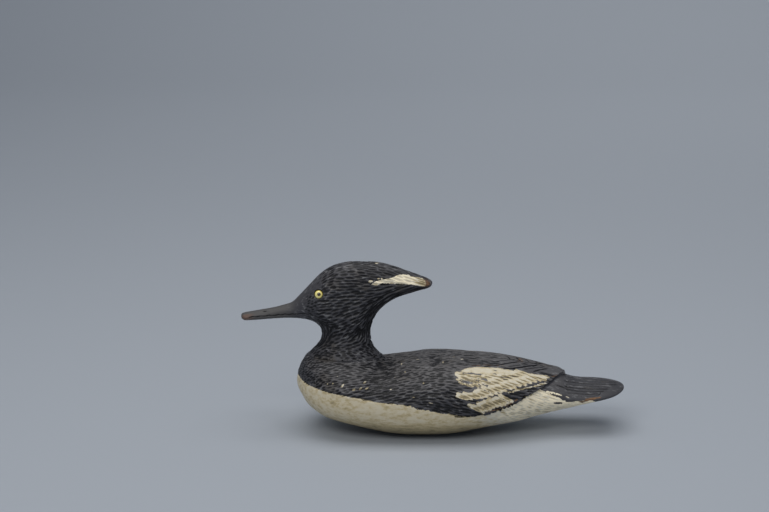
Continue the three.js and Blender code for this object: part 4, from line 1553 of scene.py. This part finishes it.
def belly_soil_and_painted_light(points):
    """How soiled the belly is, in the smudge and in streaks, with painted shade low down; towards the tail
    hardly any, and on the rear flank the cream is lightened as painted light.
    """
    x, y, z = points.T
    rear = smoothstep(x, *REAR_FROM)
    # painted shade, darker towards the bottom of the belly
    low = LOW_PAINTED_SHADE * (1 - smoothstep(z, 0, SHADED_BELOW)) * (1 - LOW_SHADE_REAR_DROP * rear)
    smudge = smoothstep(spots(*seen(points), SMUDGE), *SMUDGE_EDGE) * (y < 0)
    smudge = smudge * smoothstep(drift(points, "smudge"), *SMUDGE_BROKEN)
    streaked = STREAK_SOIL * smoothstep(drift(points * STREAK_STRETCH, "belly"), *STREAKED_FROM)
    belly = low + SMUDGE_SOIL * smudge + (BELLY_SOIL + streaked) * (1 - rear) - REAR_PAINTED_LIGHT * rear
    return belly - WHITENED * smoothstep(x, *WHITEST_FROM)


# %% Paint on the body
STREAK_HALF_WIDTH = 0.7
STREAK_WAVER = 1.9
CHIP_MARGIN = 0.1
CHIP_WAVER = 0.25
DASH_WAVER = 0.35
SLOT_HALF_WIDTH = 0.9
CHIP_SOIL = 0.1
COMBED_SOIL = 0.3
# painted sheen: the black is greyer where it faces up towards the overhead light
FACES_UP = (0.3, 1.0)
OFF_SEAT = (1.0, 1.2)
# Where along the body the black has less painted sheen, and by how much.
LESS_PAINTED_SHEEN = (((60, 85), 0.45), ((115, 130), 0.8))


def paint_body(made):
    """Stores the cream areas, wear, soil with its painted shade and painted light, and the painted sheen of
    the body.
    """
    points, feathered = points_of(made), own_field(made, "feathered") > 0.5
    x = points[:, 0]
    u, v = seen(points)
    fine = drift(points, "fine")
    below = below_black(points, feathered, fine)
    row, combed = wing_rows(points, fine)
    streak = STREAK_HALF_WIDTH - near_line(u, v, STREAK) + STREAK_WAVER * drift(points, "streak")
    chips = np.where(points[:, 1] < 0, spots(u, v, CHIPS) - CHIP_MARGIN + CHIP_WAVER * fine, NEVER)
    marks = np.maximum(row, np.maximum(streak, chips))
    cream = np.where(feathered, np.maximum(below, marks), below)
    for dash, half in TAIL_DASHES:
        cream = np.maximum(cream, half - near_line(u, v, dash) + DASH_WAVER * fine)
    cream = np.minimum(cream, near_line(u, v, TAIL_SLOT) - SLOT_HALF_WIDTH)
    black_side = feathered & ((x > PAINT_EDGE_FROM) | (below < 0))
    # soil, with painted shade low on the belly and painted light on the rear flank
    soil = np.where(black_side, CHIP_SOIL + COMBED_SOIL * combed, belly_soil_and_painted_light(points))
    # painted sheen where the black faces up, none on the neck's seat
    faded = smoothstep(normals_of(made)[:, 2], *FACES_UP) * smoothstep(seat_share(points), *OFF_SEAT)
    for reach, amount in LESS_PAINTED_SHEEN:
        faded = faded * (1 - amount * smoothstep(x, *reach))
    store(made, "cream", cream)
    store(made, "wear", body_wear(points))
    store(made, "soil", np.where(chips > -0.4, CHIP_SOIL, soil))
    store(made, "faded", faded)
    print("share of the body that is cream:", round(float((cream > 0).mean()), 2))


paint_body(body)

# %% Paint on the head
DIRTIER_FROM = (408, 426)
FACE_ENDS_X = -112
BILL_FROM = (-143, -119)
BILL_TIP = (-175, -160)
BILL_TIP_INSIDE = (0.3, 2.2)
PATCH_WAVER = 0.45
HEAD_CHIP_WAVER = 0.2
HEAD_WEAR = 0.3
TIP_WEAR = 0.14
WEAR_RANGE = (-0.2, 0.7)
HEAD_SOIL = 0.15
DIRTIEST = 1.35
CLEANEST = -0.9
# painted sheen on the head where it faces up
HEAD_PAINTED_SHEEN = 0.3
HEAD_FACES_UP = (0.1, 0.9)
# painted highlights beside the eye
HIGHLIGHT_EDGE = (-0.1, 0.3)
HIGHLIGHT_AMOUNT = 1.8


def paint_head(made):
    """Stores the cream areas, wear, soil, bill colour, and the painted sheen and painted highlights of the
    head.
    """
    points = points_of(made)
    x, y, z = points.T
    u, v = seen(points)
    fine = drift(points, "head")
    patch = inside_shape(u, v, CREST_PATCH) + PATCH_WAVER * fine
    chips = np.where(y < 0, spots(u, v, HEAD_CHIPS) + HEAD_CHIP_WAVER * fine, NEVER)
    cream = np.maximum(patch, chips)
    tip = inside_shape(u, v, BROWN_TIP)
    wear = np.clip(HEAD_WEAR + TIP_WEAR * tip, *WEAR_RANGE)
    bill = 1 - smoothstep(x, *BILL_FROM)
    deep = from_map(depth_map, x, z)
    bill_tip = (1 - smoothstep(x, *BILL_TIP)) * smoothstep(deep, *BILL_TIP_INSIDE)
    store(made, "cream", np.where(x < FACE_ENDS_X, NEVER, cream))
    store(made, "wear", wear)
    dirt = DIRTIEST * smoothstep(u, *DIRTIER_FROM) + CLEANEST
    store(made, "soil", np.where(patch > -0.5, dirt, HEAD_SOIL))
    store(made, "bill", bill + bill_tip)
    # painted sheen on the head where it faces up
    faded = HEAD_PAINTED_SHEEN * smoothstep(normals_of(made)[:, 2], *HEAD_FACES_UP)
    # painted highlights beside the eye, on the near side only
    highlights = smoothstep(spots(u, v, HEAD_PAINTED_HIGHLIGHTS), *HIGHLIGHT_EDGE) * (y < 0)
    store(made, "faded", np.maximum(faded, HIGHLIGHT_AMOUNT * highlights))
    print("share of the head that is cream:", round(float((cream > 0).mean()), 3))


paint_head(head)

# %% [markdown]
# ## The paint itself
# Old oil paint on carved wood: a thin black with painted highlights, grey flecks on the ridges, and painted
# shade deep in the cuts; a cream that has yellowed and holds dirt, with painted shade in its cuts and low
# on the belly and painted light on the rear flank; and brown wood where both have worn through. The black
# has a painted grey sheen where it faces up. All of it is one material, because the same brush went over
# both blocks. Its parts are mixed by the stored fields with noise in the object's own space, and the cut
# depth tells ridge from groove.

# %% Helpers for shader nodes


def field(tree, name):
    """A stored number, in a shader."""
    return new_node(tree, "ShaderNodeAttribute", attribute_name=name), "Fac"


def speckle(tree, scale, stretch=(1, 1, 1), detail=4, roughness=0.6):
    """Noise over the object, with the scale counted per metre."""
    place = new_node(tree, "ShaderNodeTexCoord"), "Object"
    spread = new_node(tree, "ShaderNodeMapping", {"Vector": place, "Scale": stretch}), 0
    inputs = {"Vector": spread, "Scale": scale, "Detail": detail, "Roughness": roughness}
    return new_node(tree, "ShaderNodeTexNoise", inputs), 0


def spread_out(tree, value, low, high):
    """Zero up to the low value, one from the high value on."""
    inputs = {"Value": value, "From Min": low, "From Max": high}
    return new_node(tree, "ShaderNodeMapRange", inputs, interpolation_type="SMOOTHSTEP"), 0


def blended(tree, share, first, second):
    """A colour between two, each a colour or the output of a node."""
    first, second = ((*end, 1) if len(end) == 3 else end for end in (first, second))
    return new_node(tree, "ShaderNodeMix", {0: share, 6: first, 7: second}, data_type="RGBA"), 2


# %% Colours
BLACK_RIDGE = (0.047, 0.047, 0.054)
# painted shade: the black darkened in the cuts and grooves
BLACK_PAINTED_SHADE = (0.004, 0.004, 0.005)
# painted sheen and highlights: the black lightened on ridges that face up, and beside the eye
BLACK_PAINTED_SHEEN = (0.135, 0.129, 0.128)
# painted highlights: small grey glints on the ridges
BLACK_PAINTED_GLINT = (0.225, 0.225, 0.231)
BLACK_AGED = (0.07, 0.06, 0.048)
# fresh cream, which on the rear flank is painted light
CREAM_FRESH_AND_PAINTED_LIGHT = (0.95, 0.85, 0.63)
CREAM_CLEAN = (0.71, 0.66, 0.535)
CREAM_YELLOWED = (0.58, 0.475, 0.275)
# dirt, and painted shade in the cuts and low on the belly
CREAM_DIRT_AND_SHADE = (0.18, 0.15, 0.09)
WOOD_LIGHT = (0.3, 0.16, 0.075)
WOOD_DARK = (0.045, 0.025, 0.015)
BILL_COLOUR = (0.08, 0.077, 0.076)
BILL_TIP_COLOUR = (0.13, 0.085, 0.068)

# %% The painted wood
FINE_SCALE = 900
MEDIUM_SCALE = 260
BROAD_SCALE = 45
# painted highlights: grey glints on the ridges
GLINT_SCALE = 300
GLINT_STRETCH = (0.4, 1, 1)
SMEAR_SCALE = 280
SMEAR_STRETCH = (0.5, 1, 1)
WOOD_GRAIN_SCALE = 600
GRAIN_STRETCH = (0.07, 1, 1)
PAINT_SHINE = 0.3
BUMP_STRENGTH = 0.5
BUMP_MM = 0.3
BILL_GROOVE_MM = (0.1, 0.5)
# Where each change of colour begins and where it is in full.
# painted shade in the cuts begins and is full at these shares of the row's depth
CUT_SHADE_FROM = (0.22, 0.85)
# painted highlights on the ridges begin and are full at these noise values
GLINT_FROM = (0.54, 0.68)
AGED_FROM = (0.56, 0.72)
SMEARED_FROM = (0.4, 0.8)
YELLOWED_FROM = (0.0, 0.55)
# dirt and painted shade begin and are full at these values
DIRT_AND_SHADE_FROM = (0.25, 1.15)
# fresh cream and painted light begin and are full at these values
FRESH_AND_LIGHT_FROM = (0.0, 0.35)
CREAM_FROM = (-0.18, 0.18)
BILL_TIP_FROM = (1.1, 1.9)
DARK_WOOD_FROM = (0.35, 0.65)
BARE_FROM = (0.35, 0.75)
LEAST_ROW_DEPTH = 0.6
# How strongly each cause counts.
TONE_NOISE = 0.9
# painted sheen on the ridges
PAINTED_SHEEN_SHARE = 0.8
GLINT_BELOW = 0.45
AGED_SHARE = 0.6
SMEAR_SHARE = 0.55
# soil, with the painted shade and painted light kept in it
SOIL_AND_LIGHT_SHARE = 0.9
STAIN_AND_LIGHT_SHARE = 0.75
# dirt and painted shade in the cream's cuts
CUT_DIRT_AND_SHADE = 0.75
TIP_NOISE = 0.5
EDGE_NOISE = 1.2
GRAIN_IN_WEAR = 1.6
GRAIN_IN_RELIEF = 0.5
ROUGHNESS = 0.36
ROUGHNESS_NOISE = 0.25
WOOD_ROUGHER = 0.15


def black_paint(tree, cut, fine_off):
    """Black: grey where painted glints and painted sheen lie on the ridges, brown where it has aged, and
    darkened in the cuts as painted shade.
    """
    # painted shade: the black turns darker the deeper the cut
    tone = maths(tree, "MULTIPLY_ADD", fine_off, TONE_NOISE, cut)
    on_ridge = maths(tree, "SUBTRACT", 1.0, tone)
    black = blended(tree, tone, BLACK_RIDGE, BLACK_PAINTED_SHADE)
    # painted sheen on the ridges
    faded = maths(tree, "MULTIPLY", maths(tree, "MULTIPLY", field(tree, "faded"), on_ridge), PAINTED_SHEEN_SHARE)
    black = blended(tree, faded, black, BLACK_PAINTED_SHEEN)
    # painted highlights: grey glints on the ridges
    glints = spread_out(tree, speckle(tree, GLINT_SCALE, GLINT_STRETCH, detail=3), *GLINT_FROM)
    glints = maths(tree, "MULTIPLY", glints, maths(tree, "SUBTRACT", on_ridge, GLINT_BELOW))
    black = blended(tree, glints, black, BLACK_PAINTED_GLINT)
    aged = spread_out(tree, speckle(tree, BROAD_SCALE, detail=2), *AGED_FROM)
    browned = maths(tree, "MULTIPLY", maths(tree, "MULTIPLY", aged, on_ridge), AGED_SHARE)
    return blended(tree, browned, black, BLACK_AGED)


def cream_paint(tree, cut):
    """Cream: yellowed and then dirty where it is stained, darker in the cuts from dirt and painted shade
    and low on the belly from painted shade, and fresh where it is clean, which on the rear flank is painted
    light.
    """
    smear = speckle(tree, SMEAR_SCALE, SMEAR_STRETCH, detail=4, roughness=0.7)
    smear = maths(tree, "MULTIPLY", spread_out(tree, smear, *SMEARED_FROM), SMEAR_SHARE)
    # stains and dirt, with painted shade and painted light from the soil, and dirt and painted shade in the
    # cuts
    stain_and_painted_light = maths(tree, "MULTIPLY_ADD", field(tree, "soil"), SOIL_AND_LIGHT_SHARE, smear)
    stain_and_painted_light = maths(tree, "MULTIPLY_ADD", cut, CUT_DIRT_AND_SHADE, maths(tree, "MULTIPLY", stain_and_painted_light, STAIN_AND_LIGHT_SHARE))
    cream = blended(tree, spread_out(tree, stain_and_painted_light, *YELLOWED_FROM), CREAM_CLEAN, CREAM_YELLOWED)
    cream = blended(tree, spread_out(tree, stain_and_painted_light, *DIRT_AND_SHADE_FROM), cream, CREAM_DIRT_AND_SHADE)
    # fresh cream where the stain is below zero, which on the rear flank is painted light
    fresh_and_light = maths(tree, "MULTIPLY", stain_and_painted_light, -1.0)
    return blended(tree, spread_out(tree, fresh_and_light, *FRESH_AND_LIGHT_FROM), cream, CREAM_FRESH_AND_PAINTED_LIGHT)


def bill_paint(tree, fine_off):
    """The bill's dark colour, browner at its tip, and darkened in its grooves as painted shade."""
    tip = maths(tree, "MULTIPLY_ADD", fine_off, TIP_NOISE, field(tree, "bill"))
    bill = blended(tree, spread_out(tree, tip, *BILL_TIP_FROM), BILL_COLOUR, BILL_TIP_COLOUR)
    # painted shade in the bill's grooves
    groove = spread_out(tree, field(tree, "cut_depth"), *(depth * MM for depth in BILL_GROOVE_MM))
    return blended(tree, groove, bill, BLACK_PAINTED_SHADE)


def paint_shader(tree, shader):
    """Builds the painted wood."""
    fine, medium = speckle(tree, FINE_SCALE), speckle(tree, MEDIUM_SCALE, detail=3)
    grain = speckle(tree, WOOD_GRAIN_SCALE, GRAIN_STRETCH, detail=5, roughness=0.7)
    deepest = maths(tree, "MAXIMUM", field(tree, "row_depth"), LEAST_ROW_DEPTH)
    share = maths(tree, "DIVIDE", maths(tree, "MULTIPLY", field(tree, "cut_depth"), 1 / MM), deepest)
    cut = spread_out(tree, share, *CUT_SHADE_FROM)
    fine_off = maths(tree, "SUBTRACT", fine, 0.5)
    edge = maths(tree, "MULTIPLY_ADD", fine_off, EDGE_NOISE, field(tree, "cream"))
    black, cream = black_paint(tree, cut, fine_off), cream_paint(tree, cut)
    painted = blended(tree, spread_out(tree, edge, *CREAM_FROM), black, cream)
    horn = spread_out(tree, field(tree, "bill"), 0.0, 1.0)
    painted = blended(tree, horn, painted, bill_paint(tree, fine_off))
    wood = blended(tree, spread_out(tree, grain, *DARK_WOOD_FROM), WOOD_LIGHT, WOOD_DARK)
    grain_off = maths(tree, "SUBTRACT", grain, 0.5)
    bare = maths(tree, "MULTIPLY_ADD", grain_off, GRAIN_IN_WEAR, field(tree, "wear"))
    bare = spread_out(tree, bare, *BARE_FROM)
    shine = maths(tree, "MULTIPLY_ADD", medium, ROUGHNESS_NOISE, ROUGHNESS)
    height = maths(tree, "MULTIPLY_ADD", grain, GRAIN_IN_RELIEF, fine)
    relief = {"Strength": BUMP_STRENGTH, "Distance": BUMP_MM * MM, "Height": height}
    fill(shader, {
        "Base Color": blended(tree, bare, painted, wood),
        "Specular IOR Level": PAINT_SHINE,
        "Roughness": maths(tree, "MULTIPLY_ADD", bare, WOOD_ROUGHER, shine),
        "Normal": (new_node(tree, "ShaderNodeBump", relief), 0),
    })


paint_shader(wood_finish.node_tree, wood_shader)
print("nodes in the paint:", len(wood_finish.node_tree.nodes))

# %% [markdown]
# ## Glass eyes
# Each eye is a glass bead with a dark pupil in a yellow ring, whose edge turns olive and then near black as
# painted shade from the socket, and it stands a little out of its socket. Old taxidermist's eyes are clear
# glass painted behind. From any distance that reads as an opaque yellow ball under a clear coat, which is
# also much quicker to render than real glass.

# %% The beads
BEAD_RINGS = 28
BEAD_SIDES = 48
BEAD_BACK = math.radians(-28)
PUPIL_OFFSET = (0.14, 0, 0.12)


def bead(node):
    """A closed bead with a flat back, turned the way the eye looks. Each point knows how far it is over
    the glass from the pupil's middle and from the eye's middle."""
    centre, axis = eye_place(node)
    turned_to = Vector(axis).to_track_quat("Z", "Y").to_matrix()
    points = [(0, 0, math.sin(BEAD_BACK) * EYE_RADIUS)]
    for ring in range(BEAD_RINGS):
        turn = BEAD_BACK + (math.pi / 2 - BEAD_BACK) * ring / BEAD_RINGS
        for k in range(BEAD_SIDES):
            angle = 2 * math.pi * k / BEAD_SIDES
            flat = math.cos(turn) * EYE_RADIUS
            points.append((flat * math.cos(angle), flat * math.sin(angle), math.sin(turn) * EYE_RADIUS))
    points.append((0, 0, EYE_RADIUS))
    faces = [face[:1] + face[:0:-1] for face in dome_faces(BEAD_RINGS, BEAD_SIDES)]
    last_ring = 1 + (BEAD_RINGS - 1) * BEAD_SIDES
    for k in range(BEAD_SIDES):
        faces.append((last_ring + k, last_ring + (k + 1) % BEAD_SIDES, len(points) - 1))
    placed = [(Vector(centre) + turned_to @ Vector(point)) * MM for point in points]
    made = mesh_object(node + "_glass", [tuple(point) for point in placed], faces)
    made.data.shade_smooth()
    pupil = (Vector(axis) + Vector(PUPIL_OFFSET)).normalized()
    ways = np.array([(point / MM - Vector(centre)).normalized() for point in placed])
    for field_name, middle in (("from_pupil", pupil), ("from_axis", Vector(axis))):
        store(made, field_name, EYE_RADIUS * np.arccos(np.clip(ways @ np.array(middle), -1, 1)))
    made.data.materials.append(glass_finish)
    return made


# %% Glass, with distances in millimetres from the pupil's or the eye's middle
PUPIL_COLOUR = (0.03, 0.016, 0.006)
RING_COLOUR = (1.0, 0.93, 0.42)
RAY_COLOUR = (1.0, 0.8, 0.14)
# painted shade from the socket: the ring turns olive and then near black at its edge
OUTER_COLOUR = (0.72, 0.55, 0.05)
SOCKET_SHADE_COLOUR = (0.03, 0.022, 0.008)
PUPIL_ENDS = (1.45, 2.05)
OUTER_STARTS = (3.4, 4.5)
RAYS_FROM = (0.35, 0.75)
# painted shade from the socket at the bead's edge
SOCKET_SHADE_STARTS = (4.3, 4.9)
RAY_SCALE = 1500
UNEVEN_MM = 0.3
GLASS_ROUGHNESS = 0.35
COAT = {"Coat Weight": 0.8, "Coat Roughness": 0.06}


def glass_shader(tree, shader):
    """A dark pupil and a yellow ring with fine rays, which turns olive and then near black at its edge as
    painted shade from the socket.
    """
    fine = speckle(tree, RAY_SCALE, detail=3)
    off = maths(tree, "SUBTRACT", fine, 0.5)
    ring = blended(tree, spread_out(tree, fine, *RAYS_FROM), RING_COLOUR, RAY_COLOUR)
    # painted shade from the socket: olive towards the ring's edge
    ring = blended(tree, spread_out(tree, field(tree, "from_axis"), *OUTER_STARTS), ring, OUTER_COLOUR)
    reach = maths(tree, "MULTIPLY_ADD", off, UNEVEN_MM, field(tree, "from_pupil"))
    inner = blended(tree, spread_out(tree, reach, *PUPIL_ENDS), PUPIL_COLOUR, ring)
    # painted shade from the socket: near black at the bead's edge
    edge = maths(tree, "MULTIPLY_ADD", off, UNEVEN_MM, field(tree, "from_axis"))
    whole = blended(tree, spread_out(tree, edge, *SOCKET_SHADE_STARTS), inner, SOCKET_SHADE_COLOUR)
    fill(shader, {"Base Color": whole, "Roughness": GLASS_ROUGHNESS, **COAT})


glass_finish, glass_node = material("glass_eye")
glass_shader(glass_finish.node_tree, glass_node)
left_eye, right_eye = bead("left_eye"), bead("right_eye")
print("each bead has", len(left_eye.data.polygons), "faces")

# %% [markdown]
# ## Lighter meshes
# A reusable part should not be heavier than it looks. Where the skin is smooth the points are merged until
# each block stays under two hundred thousand triangles; the cuts keep their shape. The last step keeps
# every point inside the CAD model's box, so the part is no larger than its stated size.

# %% Lighten the blocks
MOST_TRIANGLES = 190000


def triangles_of(made):
    """How many triangles a mesh has."""
    return sum(len(polygon.vertices) - 2 for polygon in made.data.polygons)


def lightened(made):
    """The same piece with no more triangles than it may have."""
    before = triangles_of(made)
    name = made.name
    if before > MOST_TRIANGLES:
        modifier = made.modifiers.new("lighten", "DECIMATE")
        modifier.ratio = MOST_TRIANGLES / before
        old, baked = made.data, with_changes(made)
        made.modifiers.remove(modifier)
        made.data = baked
        bpy.data.meshes.remove(old)
        baked.name = name
    made.data.shade_smooth()
    print(name, before, "triangles, now", triangles_of(made))


low, high = (np.array(corner) / MM for corner in cad_box)
for made in (body, head):
    lightened(made)
    move_points(made, np.clip(points_of(made), low, high))

# %% Attach the pieces to the root and hide the CAD parts
PIECES = {"body": (body, "body_wood"), "head": (head, "head_wood")}
PIECES |= {"left_eye": (left_eye, "eye_glass"), "right_eye": (right_eye, "eye_glass")}
for node, (made, slot) in PIECES.items():
    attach(made, "root")
    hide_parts(node)
sizes = {"cad": cad_box, "visual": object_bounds()}
plain = {name: [list(corner) for corner in corners] for name, corners in sizes.items()}
print("visual box in mm:", [[round(v / MM, 1) for v in corner] for corner in plain["visual"]])
